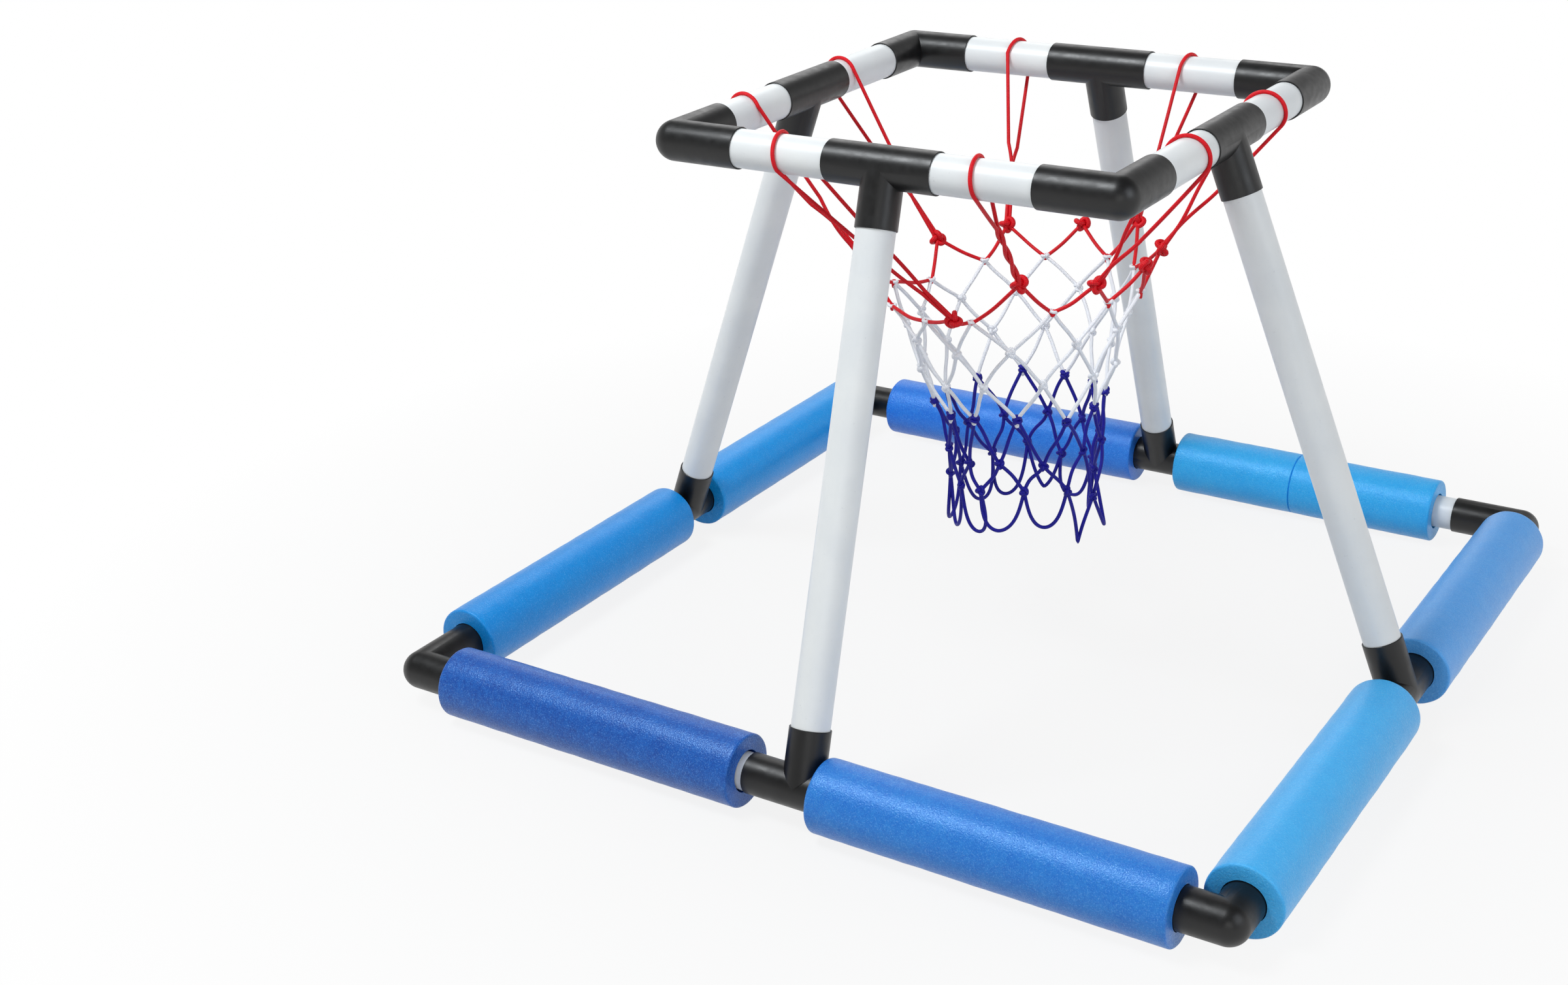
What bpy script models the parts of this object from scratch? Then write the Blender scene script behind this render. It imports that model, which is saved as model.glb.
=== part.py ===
"""Floating basketball hoop: a square of foam-covered pipe that carries a smaller hoop square and its net.

Metres, +Z up. X runs along the front bar to the right, Y to the back. The origin is on the floor
under the middle of the base square. The floats lie on the floor.
"""

import math

import bmesh
import bpy
from mathutils import Matrix, Vector

# Pipes
PIPE_OUTER_DIAMETER = 0.025
PIPE_WALL = 0.0015
BASE_PIPE_LENGTH = 0.257
TOP_PIPE_LENGTH = 0.1155
LEG_PIPE_LENGTH = 0.357

# Push-fit fittings, which are sleeves over the pipes
SOCKET_CLEARANCE = 0.00025
FITTING_WALL = 0.00075
ELBOW_REACH = 0.050
TEE_RUN_REACH = 0.038
TEE_STEM_REACH = 0.0385
SOCKET_INSERTION = 0.024

# How far each base tee sits from the middle of its side, as the hoop was put together
BASE_TEE_SHIFT = {"front": 0.018, "right": 0.0, "back": 0.0, "left": 0.022}

# Foam floats: each slides over its pipe and over the fittings' arms
FLOAT_OUTER_DIAMETER = 0.0484
FLOAT_BORE_DIAMETER = 0.028
FLOAT_EDGE_SOFTENING = 0.0012
# Each float's side and half, and how far its ends stay from the corner's axis and the tee's axis
FLOAT_GAPS = {
    "front_left": (0.035, 0.042),
    "front_right": (0.0273, 0.0152),
    "right_front": (0.022, 0.030),
    "right_back": (0.027, 0.032),
    "back_left": (0.041, 0.020),
    "back_right": (0.0645, 0.0195),
    "left_front": (0.048, 0.023),
    "left_back": (0.022, 0.019),
}

# Net cord
CORD_DIAMETER = 0.0034
CORD_GAP = 0.0007
MESHES_ROUND = 12
MESH_ANGLE = 2 * math.pi / MESHES_ROUND
# Each hanger loop: its side, its distance from the middle of that side, and the angle round the
# net in degrees and the height above the base pipes' axes of the knot that it ends in
HANGERS = (
    ("front", -0.067, -90, 0.246),
    ("front", 0.063, -60, 0.266),
    ("right", -0.057, -30, 0.262),
    ("right", 0.064, 30, 0.260),
    ("back", 0.074, 60, 0.262),
    ("back", -0.067, 120, 0.252),
    ("left", 0.045, 150, 0.248),
    ("left", -0.084, -150, 0.250),
)
# Two more knots that only join the ring cord: angle and height
JOINING_KNOTS = ((0, 0.258), (90, 0.256))
HANGER_SPREAD = 0.004
HANGER_KNOT_RADIUS = 0.0055
HANGER_KNOT_RING = 0.098
NET_KNOT_RADIUS = 0.0044
NET_KNOT_DEPTH = 0.0052
# The net hangs a little towards the front right corner of the frame's middle
NET_CENTRE = Vector((0.009, 0.004, 0))
# Each row of knots: radius of the row and height above the base pipes' axes
WHITE_ROWS = ((0.082, 0.236), (0.076, 0.213), (0.068, 0.185), (0.058, 0.156))
BLUE_ROWS = ((0.054, 0.124), (0.051, 0.095))
HEM_ROW = (0.046, 0.058)
HEM_DROP_SHARES = (1.0, 0.86, 1.08, 0.94, 0.8, 1.04, 0.9, 1.1, 0.84, 0.98, 1.06, 0.88)
HEM_FULLNESS = 3
TURN_HALF_WIDTH = 0.0024
HITCH_HALF_WIDTH = 0.003
HOOK_LEAN = 0.0015

# Facets round each form
ROUND_SIDES = 16
INNER_BALL_SIDES = 8
FLOAT_SIDES = 24
CORD_EXTRA_SIDES = 0
HANGER_ARC_STEPS = 10
HOOK_STEPS = 4
HEM_STEPS = 6

# How the gap between cords is measured: samples on each stretch, and how far off one still counts
GAP_SAMPLES = 8
GAP_SEARCH_REACH = 0.06

# One overrun for every cutter, and the distance under which Blender joins two points
CUT_OVERRUN = 0.002
MERGE_DISTANCE = 0.00001

UP = Vector((0, 0, 1))
# Outward direction, and the direction in which stations along the side count up
SIDES = {
    "front": (Vector((0, -1, 0)), Vector((1, 0, 0))),
    "right": (Vector((1, 0, 0)), Vector((0, 1, 0))),
    "back": (Vector((0, 1, 0)), Vector((1, 0, 0))),
    "left": (Vector((-1, 0, 0)), Vector((0, 1, 0))),
}
# The two halves of each side, in the order of its stations
HALVES = {
    "front": ("left", "right"),
    "right": ("front", "back"),
    "back": ("left", "right"),
    "left": ("front", "back"),
}
# Directions in which the two arms of each corner elbow leave, a quarter turn on from one to the next
CORNERS = {
    "front_left": (1, 1),
    "front_right": (-1, 1),
    "back_right": (-1, -1),
    "back_left": (1, -1),
}

PIPE_RADIUS = PIPE_OUTER_DIAMETER / 2
SOCKET_RADIUS = PIPE_RADIUS + SOCKET_CLEARANCE
FITTING_RADIUS = SOCKET_RADIUS + FITTING_WALL
FLOAT_RADIUS = FLOAT_OUTER_DIAMETER / 2
CORD_RADIUS = CORD_DIAMETER / 2
BASE_HALF = ELBOW_REACH + TEE_RUN_REACH + BASE_PIPE_LENGTH - 2 * SOCKET_INSERTION
TOP_HALF = ELBOW_REACH + TEE_RUN_REACH + TOP_PIPE_LENGTH - 2 * SOCKET_INSERTION
LEG_AXIS_LENGTH = 2 * TEE_STEM_REACH + LEG_PIPE_LENGTH - 2 * SOCKET_INSERTION
BASE_HEIGHT = FLOAT_RADIUS
TOP_HEIGHT = BASE_HEIGHT + math.sqrt(LEG_AXIS_LENGTH**2 - (BASE_HALF - TOP_HALF) ** 2)

COLOURS = {
    "pipe_white": ((0.80, 0.82, 0.82), 0.32),
    "fitting_black": ((0.012, 0.013, 0.015), 0.38),
    "foam_royal": ((0.035, 0.115, 0.50), 0.75),
    "foam_azure": ((0.045, 0.25, 0.68), 0.75),
    "foam_sky": ((0.09, 0.37, 0.78), 0.75),
    "foam_teal": ((0.03, 0.22, 0.42), 0.75),
    "cord_red": ((0.55, 0.004, 0.015), 0.6),
    "cord_white": ((0.80, 0.82, 0.86), 0.6),
    "cord_blue": ((0.012, 0.010, 0.22), 0.6),
}
FLOAT_COLOURS = {
    "front_left": "foam_royal",
    "front_right": "foam_azure",
    "right_front": "foam_sky",
    "right_back": "foam_sky",
    "back_left": "foam_azure",
    "back_right": "foam_sky",
    "left_front": "foam_teal",
    "left_back": "foam_teal",
}


def clear_scene():
    for thing in list(bpy.context.scene.objects):
        bpy.data.objects.remove(thing, do_unlink=True)


def make_collection(name):
    collection = bpy.data.collections.new(name)
    bpy.context.scene.collection.children.link(collection)
    return collection


def make_material(name):
    colour, roughness = COLOURS[name]
    material = bpy.data.materials.new(name)
    material.use_nodes = True
    shader = material.node_tree.nodes["Principled BSDF"]
    shader.inputs["Base Color"].default_value = (*colour, 1)
    shader.inputs["Roughness"].default_value = roughness
    shader.inputs["Metallic"].default_value = 0
    return material


clear_scene()
PART = make_collection("floating_basketball_hoop")
CUTTERS = make_collection("cutters")
MATERIALS = {name: make_material(name) for name in COLOURS}


def vertex_radius(flat_radius, sides):
    """Radius of the corners of a polygon whose flats lie at flat_radius."""
    return flat_radius / math.cos(math.pi / sides)


def frame(location, axis, reference):
    """Placing matrix with local Z along the axis and local X towards the reference."""
    z = axis.normalized()
    x = (reference - z * reference.dot(z)).normalized()
    y = z.cross(x)
    turn = Matrix((x, y, z)).transposed().to_4x4()
    return Matrix.Translation(location) @ turn


def add_part(name, mesh, placing, material):
    """Add a finished mesh as a named sub-part."""
    part = bpy.data.objects.new(name, mesh)
    part.matrix_world = placing
    PART.objects.link(part)
    if not mesh.materials:
        mesh.materials.append(MATERIALS[material])
    for polygon in mesh.polygons:
        polygon.use_smooth = True
    mesh.set_sharp_from_angle(angle=math.radians(40))
    return part


def add_cutter(name, mesh, placing):
    """Add a helper solid that Booleans read and the render leaves out."""
    cutter = bpy.data.objects.new(name, mesh)
    cutter.matrix_world = placing
    cutter.hide_render = True
    cutter.display_type = "WIRE"
    CUTTERS.objects.link(cutter)
    return cutter


def turned(name, profile, sides, placing, material):
    """Turn a closed outline of (radius, height) points round local Z, flats facing local X."""
    half_step = math.pi / sides
    mesh = bpy.data.meshes.new(name)
    corners = [(r * math.cos(half_step), r * math.sin(half_step), z) for r, z in profile]
    count = len(profile)
    mesh.from_pydata(corners, [(i, (i + 1) % count) for i in range(count)], [])
    part = add_part(name, mesh, placing, material)
    screw = part.modifiers.new("turn", "SCREW")
    screw.axis = "Z"
    screw.angle = 2 * math.pi
    screw.steps = sides
    screw.render_steps = sides
    screw.use_merge_vertices = True
    screw.merge_threshold = MERGE_DISTANCE
    return part


def cylinder_mesh(name, radius, length):
    """Cylinder from the origin along +Z, with its flats at the radius and facing local X."""
    corner = vertex_radius(radius, ROUND_SIDES)
    shape = bmesh.new()
    bmesh.ops.create_cone(
        shape, cap_ends=True, segments=ROUND_SIDES, radius1=corner, radius2=corner, depth=length
    )
    turn = Matrix.Rotation(math.pi / ROUND_SIDES, 4, "Z")
    bmesh.ops.transform(shape, matrix=Matrix.Translation(UP * length / 2) @ turn, verts=shape.verts)
    mesh = bpy.data.meshes.new(name)
    shape.to_mesh(mesh)
    shape.free()
    return mesh


def ball_mesh(name, radius, sides):
    """Ball that rounds the outer corner of an elbow."""
    shape = bmesh.new()
    bmesh.ops.create_uvsphere(shape, u_segments=sides, v_segments=sides // 2, radius=radius)
    turn = Matrix.Rotation(math.pi / sides, 4, "Z")
    bmesh.ops.transform(shape, matrix=turn, verts=shape.verts)
    mesh = bpy.data.meshes.new(name)
    shape.to_mesh(mesh)
    shape.free()
    return mesh


def combined_mesh(name, first, added, cut):
    """Mesh of the first solid with the added ones joined to it and the cut ones taken away."""
    for operation, operands in (("UNION", added), ("DIFFERENCE", cut)):
        for operand in operands:
            boolean = first.modifiers.new(operand.name, "BOOLEAN")
            boolean.operation = operation
            boolean.solver = "EXACT"
            boolean.object = operand
    bpy.context.view_layer.update()
    evaluated = first.evaluated_get(bpy.context.evaluated_depsgraph_get())
    mesh = bpy.data.meshes.new_from_object(evaluated)
    mesh.name = name
    mesh.transform(first.matrix_world)
    for thing in [first, *added, *cut]:
        bpy.data.objects.remove(thing, do_unlink=True)
    return mesh


def arm(name, radius, length, axis, reference):
    """Helper cylinder from the fitting's centre along the axis."""
    return add_cutter(name, cylinder_mesh(name, radius, length), frame(Vector(), axis, reference))


def elbow_mesh():
    """Corner elbow: arms along local +X and +Y that meet in a mitre inside and a ball outside."""
    x, y = Vector((1, 0, 0)), Vector((0, 1, 0))
    bore_length = ELBOW_REACH + CUT_OVERRUN
    first = arm("elbow_arm_x", FITTING_RADIUS, ELBOW_REACH, x, UP)
    second = arm("elbow_arm_y", FITTING_RADIUS, ELBOW_REACH, y, UP)
    outer_ball = ball_mesh("elbow_ball", FITTING_RADIUS, ROUND_SIDES)
    ball = add_cutter("elbow_ball", outer_ball, Matrix())
    bore_x = arm("elbow_bore_x", SOCKET_RADIUS, bore_length, x, UP)
    bore_y = arm("elbow_bore_y", SOCKET_RADIUS, bore_length, y, UP)
    inner_ball = ball_mesh("elbow_bore_ball", SOCKET_RADIUS, INNER_BALL_SIDES)
    bore_ball = add_cutter("elbow_bore_ball", inner_ball, Matrix())
    return combined_mesh("elbow", first, [second, ball], [bore_x, bore_y, bore_ball])


def tee_mesh(name, stem_axis):
    """Tee with its run along local X and its stem along the given local axis."""
    x = Vector((1, 0, 0))
    run = add_cutter(
        "tee_run",
        cylinder_mesh("tee_run", FITTING_RADIUS, 2 * TEE_RUN_REACH),
        frame(-x * TEE_RUN_REACH, x, UP),
    )
    stem = arm("tee_stem", FITTING_RADIUS, TEE_STEM_REACH, stem_axis, x)
    run_bore_reach = TEE_RUN_REACH + CUT_OVERRUN
    run_bore = add_cutter(
        "tee_run_bore",
        cylinder_mesh("tee_run_bore", SOCKET_RADIUS, 2 * run_bore_reach),
        frame(-x * run_bore_reach, x, UP),
    )
    stem_bore = arm("tee_stem_bore", SOCKET_RADIUS, TEE_STEM_REACH + CUT_OVERRUN, stem_axis, x)
    return combined_mesh(name, run, [stem], [run_bore, stem_bore])


def add_elbows(prefix, half, height, mesh):
    for quarter_turns, (corner, (toward_x, toward_y)) in enumerate(CORNERS.items()):
        location = Vector((-toward_x * half, -toward_y * half, height))
        turn = Matrix.Rotation(quarter_turns * math.pi / 2, 4, "Z")
        add_part(f"{prefix}_elbow_{corner}", mesh, Matrix.Translation(location) @ turn, "fitting_black")


def tee_centre(level, side):
    outward, along = SIDES[side]
    if level == "base":
        return outward * BASE_HALF + along * BASE_TEE_SHIFT[side] + UP * BASE_HEIGHT
    return outward * TOP_HALF + UP * TOP_HEIGHT


def add_tee(level, side):
    """Tee whose stem points along its leg."""
    along = SIDES[side][1]
    other_level = "top" if level == "base" else "base"
    centre = tee_centre(level, side)
    leg_axis = (tee_centre(other_level, side) - centre).normalized()
    placing = frame(centre, leg_axis - along * leg_axis.dot(along), along)
    local_stem = placing.to_3x3().inverted() @ leg_axis
    name = f"{level}_tee_{side}"
    add_part(name, tee_mesh(name, local_stem), placing, "fitting_black")


def add_pipe(name, centre, axis, reference, length):
    outer = PIPE_RADIUS
    inner = PIPE_RADIUS - PIPE_WALL
    end = length / 2
    profile = [(outer, end), (outer, -end), (inner, -end), (inner, end)]
    turned(name, profile, ROUND_SIDES, frame(centre, axis, reference), "pipe_white")


def add_bar_pipes(level, side, half, height, length):
    """The two pipes of one side, each pushed as far into its elbow as into its tee."""
    outward, along = SIDES[side]
    tee_station = tee_centre(level, side).dot(along)
    for name, direction in zip(HALVES[side], (-1, 1)):
        elbow_mouth = direction * (half - ELBOW_REACH)
        tee_mouth = tee_station + direction * TEE_RUN_REACH
        centre = outward * half + along * (elbow_mouth + tee_mouth) / 2 + UP * height
        add_pipe(f"{level}_pipe_{side}_{name}", centre, along, UP, length)


def add_leg(side):
    low, high = tee_centre("base", side), tee_centre("top", side)
    add_pipe(f"leg_{side}", (low + high) / 2, high - low, SIDES[side][1], LEG_PIPE_LENGTH)


def add_float(name):
    """Foam tube with square-cut ends and slightly softened outer edges."""
    side, half = name.split("_")
    outward, along = SIDES[side]
    direction = -1 if half == HALVES[side][0] else 1
    corner_gap, tee_gap = FLOAT_GAPS[name]
    corner_end = direction * (BASE_HALF - corner_gap)
    tee_end = tee_centre("base", side).dot(along) + direction * tee_gap
    outer = vertex_radius(FLOAT_RADIUS, FLOAT_SIDES)
    edge = outer - FLOAT_EDGE_SOFTENING
    bore = vertex_radius(FLOAT_BORE_DIAMETER / 2, FLOAT_SIDES)
    end = abs(corner_end - tee_end) / 2
    shoulder = end - FLOAT_EDGE_SOFTENING
    profile = [
        (edge, end), (outer, shoulder), (outer, -shoulder),
        (edge, -end), (bore, -end), (bore, end),
    ]
    centre = outward * BASE_HALF + along * (corner_end + tee_end) / 2 + UP * BASE_HEIGHT
    turned(f"float_{name}", profile, FLOAT_SIDES, frame(centre, along, UP), FLOAT_COLOURS[name])


def ring_frame(row, angle):
    """Point of a row at an angle round the net, with the outward and the round directions there."""
    radius, height = row
    outward = Vector((math.cos(angle), math.sin(angle), 0))
    return NET_CENTRE + outward * radius + UP * (height + BASE_HEIGHT), outward, UP.cross(outward)


def mesh_angle(index, row_number):
    """Angle of a knot: each row stands half a mesh further round than the row above it."""
    return (index + (row_number + 1) / 2) * MESH_ANGLE


def flat_turn(row, angle, half_width, lift):
    """Two points where a cord turns level before it leaves again."""
    point, _, around = ring_frame(row, angle)
    point = point + UP * lift
    return [point - around * half_width, point + around * half_width]


def hook_turn(row, angle):
    """Half circle from outside to inside over the cord which runs round the net at this point."""
    point, outward, around = ring_frame(row, angle)
    reach = (CORD_DIAMETER + CORD_GAP) / math.cos(math.pi / HOOK_STEPS / 2)
    points = []
    for step in range(HOOK_STEPS + 1):
        turn = math.pi * step / HOOK_STEPS
        lean = around * HOOK_LEAN * (2 * step / HOOK_STEPS - 1)
        points.append(point + outward * reach * math.cos(turn) + UP * reach * math.sin(turn) + lean)
    return points


def hook_over(row):
    """Hook over the cord that runs round the net at this row."""
    return lambda angle: hook_turn(row, angle)


def knot_top(row):
    """Turn of the cord that hangs below a knot."""
    return lambda angle: flat_turn(row, angle, TURN_HALF_WIDTH, -CORD_RADIUS / 2)


def knot_bottom(row):
    """Turn of the cord that ends in a knot from above."""
    return lambda angle: flat_turn(row, angle, TURN_HALF_WIDTH, CORD_RADIUS / 2)


def loop_bottom(angle):
    """Bottom of a white loop, level where the blue cord hooks over it."""
    return flat_turn(WHITE_ROWS[-1], angle, HITCH_HALF_WIDTH, 0)


def zigzag(upper_number, upper_turn, lower_turn):
    """Closed route that turns at the knots of two neighbouring rows by turns."""
    route = []
    for index in range(MESHES_ROUND):
        angle = mesh_angle(index, upper_number)
        route.extend(upper_turn(angle))
        route.extend(lower_turn(angle + MESH_ANGLE / 2))
    return route


def zigzags(first_number, rows, top_turn, bottom_turn):
    """One closed cord between each two neighbouring rows."""
    tops = [top_turn, *[knot_top(row) for row in rows]]
    bottoms = [*[knot_bottom(row) for row in rows], bottom_turn]
    return [
        zigzag(first_number + number, top, bottom)
        for number, (top, bottom) in enumerate(zip(tops, bottoms))
    ]


def white_routes():
    """Zigzag cords: the top one hooks over the red ring, the bottom one ends in loops."""
    return zigzags(0, WHITE_ROWS[1:-1], hook_over(WHITE_ROWS[0]), loop_bottom)


def hem_loop(angle):
    """Loop that hangs from one knot of the last row to the next, some deeper than others."""
    (top_radius, top_height), (low_radius, low_height) = BLUE_ROWS[-1], HEM_ROW
    number = round(angle / MESH_ANGLE) % len(HEM_DROP_SHARES)
    drop = (top_height - low_height) * HEM_DROP_SHARES[number]
    points = []
    for step in range(1, HEM_STEPS):
        share = step / HEM_STEPS
        sag = 1 - abs(2 * share - 1) ** HEM_FULLNESS
        row = (top_radius + (low_radius - top_radius) * sag, top_height - drop * sag)
        points.append(ring_frame(row, angle + MESH_ANGLE * (share - 0.5))[0])
    return points


def blue_routes():
    """Zigzag cords hooked over the white loops, and below them a hem of hanging loops."""
    return zigzags(len(WHITE_ROWS) - 1, BLUE_ROWS, hook_over(WHITE_ROWS[-1]), hem_loop)


def red_knots():
    """Angle and row of every big red knot."""
    hanging = [(angle, height) for _, _, angle, height in HANGERS]
    return [
        (math.radians(angle), (HANGER_KNOT_RING, height)) for angle, height in (*hanging, *JOINING_KNOTS)
    ]


def hanger_route(side, station, angle, height):
    """Loop over a top pipe whose two strands come together in a knot."""
    outward, along = SIDES[side]
    inward = -outward
    pipe = outward * TOP_HALF + along * station + UP * TOP_HEIGHT
    knot = ring_frame((HANGER_KNOT_RING, height), math.radians(angle))[0]
    reach_in, reach_up = (knot - pipe).dot(inward), (knot - pipe).dot(UP)
    touching = PIPE_RADIUS + CORD_RADIUS + CORD_GAP
    bearing = math.atan2(reach_up, reach_in)
    half_open = math.acos(touching / math.hypot(reach_in, reach_up))
    sweep = 2 * (math.pi - half_open)
    radius = touching / math.cos(sweep / HANGER_ARC_STEPS / 2)
    route = []
    for step in range(HANGER_ARC_STEPS + 1):
        share = step / HANGER_ARC_STEPS
        turn = bearing + half_open + sweep * share
        radial = inward * math.cos(turn) + UP * math.sin(turn)
        route.append(pipe + radial * radius + along * HANGER_SPREAD * (share - 0.5))
    apart = inward * math.sin(bearing) - UP * math.cos(bearing)
    half_apart = (CORD_DIAMETER + CORD_GAP) / 2
    route.append(knot + apart * half_apart)
    route.append(knot - apart * half_apart)
    return route


def ring_route():
    """Red ring cord: it climbs to each red knot and hangs lower where the white net hooks on."""
    stops = [(angle % (2 * math.pi), row, -CORD_RADIUS) for angle, row in red_knots()]
    for index in range(MESHES_ROUND):
        stops.append((mesh_angle(index, 0) % (2 * math.pi), WHITE_ROWS[0], 0))
    route = []
    for angle, row, lift in sorted(stops, key=lambda stop: stop[0]):
        route.extend(flat_turn(row, angle, TURN_HALF_WIDTH, lift))
    return route


def cord_object(name, routes):
    """Closed cords as square-section tubes, made one mesh."""
    curve = bpy.data.curves.new(name, "CURVE")
    curve.dimensions = "3D"
    curve.bevel_depth = CORD_RADIUS
    curve.bevel_resolution = CORD_EXTRA_SIDES
    curve.resolution_u = 1
    curve.render_resolution_u = 0
    for route in routes:
        spline = curve.splines.new("POLY")
        spline.points.add(len(route) - 1)
        for point, place in zip(spline.points, route):
            point.co = (*place, 1)
        spline.use_cyclic_u = True
    guide = bpy.data.objects.new(name, curve)
    CUTTERS.objects.link(guide)
    bpy.context.view_layer.update()
    evaluated = guide.evaluated_get(bpy.context.evaluated_depsgraph_get())
    mesh = bpy.data.meshes.new_from_object(evaluated)
    solid = add_cutter(f"{name}_solid", mesh, guide.matrix_world)
    bpy.data.objects.remove(guide, do_unlink=True)
    return solid


def ball_knots(name, places, radius):
    """Big knots as balls, all in one helper mesh."""
    shape = bmesh.new()
    for place, _, _ in places:
        placing = Matrix.Translation(place)
        bmesh.ops.create_icosphere(shape, subdivisions=2, radius=radius, matrix=placing)
    mesh = bpy.data.meshes.new(name)
    shape.to_mesh(mesh)
    shape.free()
    return add_cutter(name, mesh, Matrix())


def square_knots(name, places, radius, depth):
    """Small knots as square blocks on edge, with one face towards each of the four strands."""
    shape = bmesh.new()
    for place, outward, _ in places:
        placing = frame(place, outward, UP)
        bmesh.ops.create_cone(
            shape, cap_ends=True, segments=4, radius1=radius, radius2=radius, depth=depth,
            matrix=placing,
        )
    mesh = bpy.data.meshes.new(name)
    shape.to_mesh(mesh)
    shape.free()
    return add_cutter(name, mesh, Matrix())


def row_places(first_number, rows):
    """Place and directions of every knot of some rows."""
    return [
        ring_frame(row, mesh_angle(index, number))
        for number, row in enumerate(rows, first_number)
        for index in range(MESHES_ROUND)
    ]


def add_netting(name, routes, knots, material):
    """Join cords and knots of one colour into one body."""
    cords = [cord_object(f"{name}_cord_{number}", [route]) for number, route in enumerate(routes)]
    mesh = combined_mesh(name, cords[0], [*cords[1:], knots], [])
    add_part(name, mesh, Matrix(), material)


def add_net():
    ring = cord_object("ring", [ring_route()])
    loops = cord_object("hangers", [hanger_route(*hanger) for hanger in HANGERS])
    places = [ring_frame(row, angle) for angle, row in red_knots()]
    knots = ball_knots("red_knots", places, HANGER_KNOT_RADIUS)
    mesh = combined_mesh("net_hangers", ring, [loops, knots], [])
    add_part("net_hangers", mesh, Matrix(), "cord_red")

    white_places = row_places(1, WHITE_ROWS[1:-1])
    white_knots = square_knots("white_knots", white_places, NET_KNOT_RADIUS, NET_KNOT_DEPTH)
    add_netting("net_upper", white_routes(), white_knots, "cord_white")

    blue_places = row_places(len(WHITE_ROWS), BLUE_ROWS)
    blue_knots = square_knots("blue_knots", blue_places, NET_KNOT_RADIUS, NET_KNOT_DEPTH)
    add_netting("net_lower", blue_routes(), blue_knots, "cord_blue")


def segment_gap(a, b, c, d):
    """Least distance between two straight stretches, sampled finely enough for thin cord."""
    least = math.inf
    for step in range(GAP_SAMPLES + 1):
        point = a.lerp(b, step / GAP_SAMPLES)
        along = d - c
        share = max(0.0, min(1.0, (point - c).dot(along) / along.length_squared))
        least = min(least, (point - c.lerp(d, share)).length)
    return least


def print_least_gap(name, routes, others):
    """Print how near the cords of two colours come to each other, surface to surface."""
    least = math.inf
    for route in routes:
        for other in others:
            for i, start in enumerate(route):
                for j, other_start in enumerate(other):
                    if (start - other_start).length > GAP_SEARCH_REACH:
                        continue
                    end = route[(i + 1) % len(route)]
                    other_end = other[(j + 1) % len(other)]
                    least = min(least, segment_gap(start, end, other_start, other_end))
    print(f"{name}: least gap {1000 * (least - CORD_DIAMETER):.2f} mm")


def build():
    elbow = elbow_mesh()
    levels = (
        ("base", BASE_HALF, BASE_HEIGHT, BASE_PIPE_LENGTH),
        ("top", TOP_HALF, TOP_HEIGHT, TOP_PIPE_LENGTH),
    )
    for level, half, height, length in levels:
        add_elbows(level, half, height, elbow)
        for side in SIDES:
            add_tee(level, side)
            add_bar_pipes(level, side, half, height, length)
    for side in SIDES:
        add_leg(side)
    for name in FLOAT_GAPS:
        add_float(name)
    add_net()
    print_least_gap("white net on red ring", white_routes(), [ring_route()])
    print_least_gap("blue net on white loops", blue_routes(), white_routes())


build()
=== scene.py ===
# %% [markdown]
# # Floating basketball hoop
# Eight foam tubes carry a square of plastic pipe on the water, and four legs lean in from it to a
# smaller square. A net in three colours of cord hangs from that square. This notebook dresses the
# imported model: it reads the frame, sets the camera and lights, then makes the pipes, fittings,
# floats and net one after another, each with its own finish.

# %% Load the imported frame
import math
import random

import bmesh
import bpy
from mathutils import Matrix, Vector


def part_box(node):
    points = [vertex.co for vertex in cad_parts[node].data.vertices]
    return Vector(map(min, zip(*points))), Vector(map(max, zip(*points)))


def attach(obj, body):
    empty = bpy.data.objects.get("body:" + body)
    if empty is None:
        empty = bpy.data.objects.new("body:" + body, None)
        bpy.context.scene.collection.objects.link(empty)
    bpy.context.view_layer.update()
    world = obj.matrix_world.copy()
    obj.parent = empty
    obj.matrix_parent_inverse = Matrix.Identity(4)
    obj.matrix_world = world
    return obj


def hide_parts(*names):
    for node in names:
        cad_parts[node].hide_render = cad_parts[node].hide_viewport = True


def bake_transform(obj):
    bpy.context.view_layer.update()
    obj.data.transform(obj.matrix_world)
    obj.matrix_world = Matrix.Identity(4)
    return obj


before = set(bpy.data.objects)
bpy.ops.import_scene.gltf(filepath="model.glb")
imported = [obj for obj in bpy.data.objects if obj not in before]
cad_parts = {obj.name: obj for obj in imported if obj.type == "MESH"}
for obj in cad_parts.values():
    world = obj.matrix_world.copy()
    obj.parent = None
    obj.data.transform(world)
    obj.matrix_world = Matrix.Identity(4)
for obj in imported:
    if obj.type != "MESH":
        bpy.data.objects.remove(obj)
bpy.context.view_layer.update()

# %% [markdown]
# ## Sizes
# Every size here is one of the part's own, in metres. The pipe is stock 25 mm pipe. The fittings are
# sleeves over it, so they stand one millimetre proud, and the floats are much thicker than both.

# %% Sizes shared by several pieces
PIPE_RADIUS = 0.0125
PIPE_WALL = 0.0015
SOCKET_RADIUS = 0.01275
FITTING_RADIUS = 0.0135
ELBOW_REACH = 0.050
TEE_REACH = 0.038
STEM_REACH = 0.0385
SOCKET_INSERTION = 0.024
BASE_PIPE_LENGTH = 0.257
TOP_PIPE_LENGTH = 0.1155
FLOAT_RADIUS = 0.0242
FLOAT_BORE_RADIUS = 0.014
BASE_TEE_SHIFT = {"front": 0.018, "right": 0.0, "back": 0.0, "left": 0.022}
BASE_HALF = ELBOW_REACH + TEE_REACH + BASE_PIPE_LENGTH - 2 * SOCKET_INSERTION
TOP_HALF = ELBOW_REACH + TEE_REACH + TOP_PIPE_LENGTH - 2 * SOCKET_INSERTION
LEG_AXIS = 0.386
BASE_HEIGHT = FLOAT_RADIUS
TOP_HEIGHT = BASE_HEIGHT + math.sqrt(LEG_AXIS**2 - (BASE_HALF - TOP_HALF) ** 2)
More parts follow.
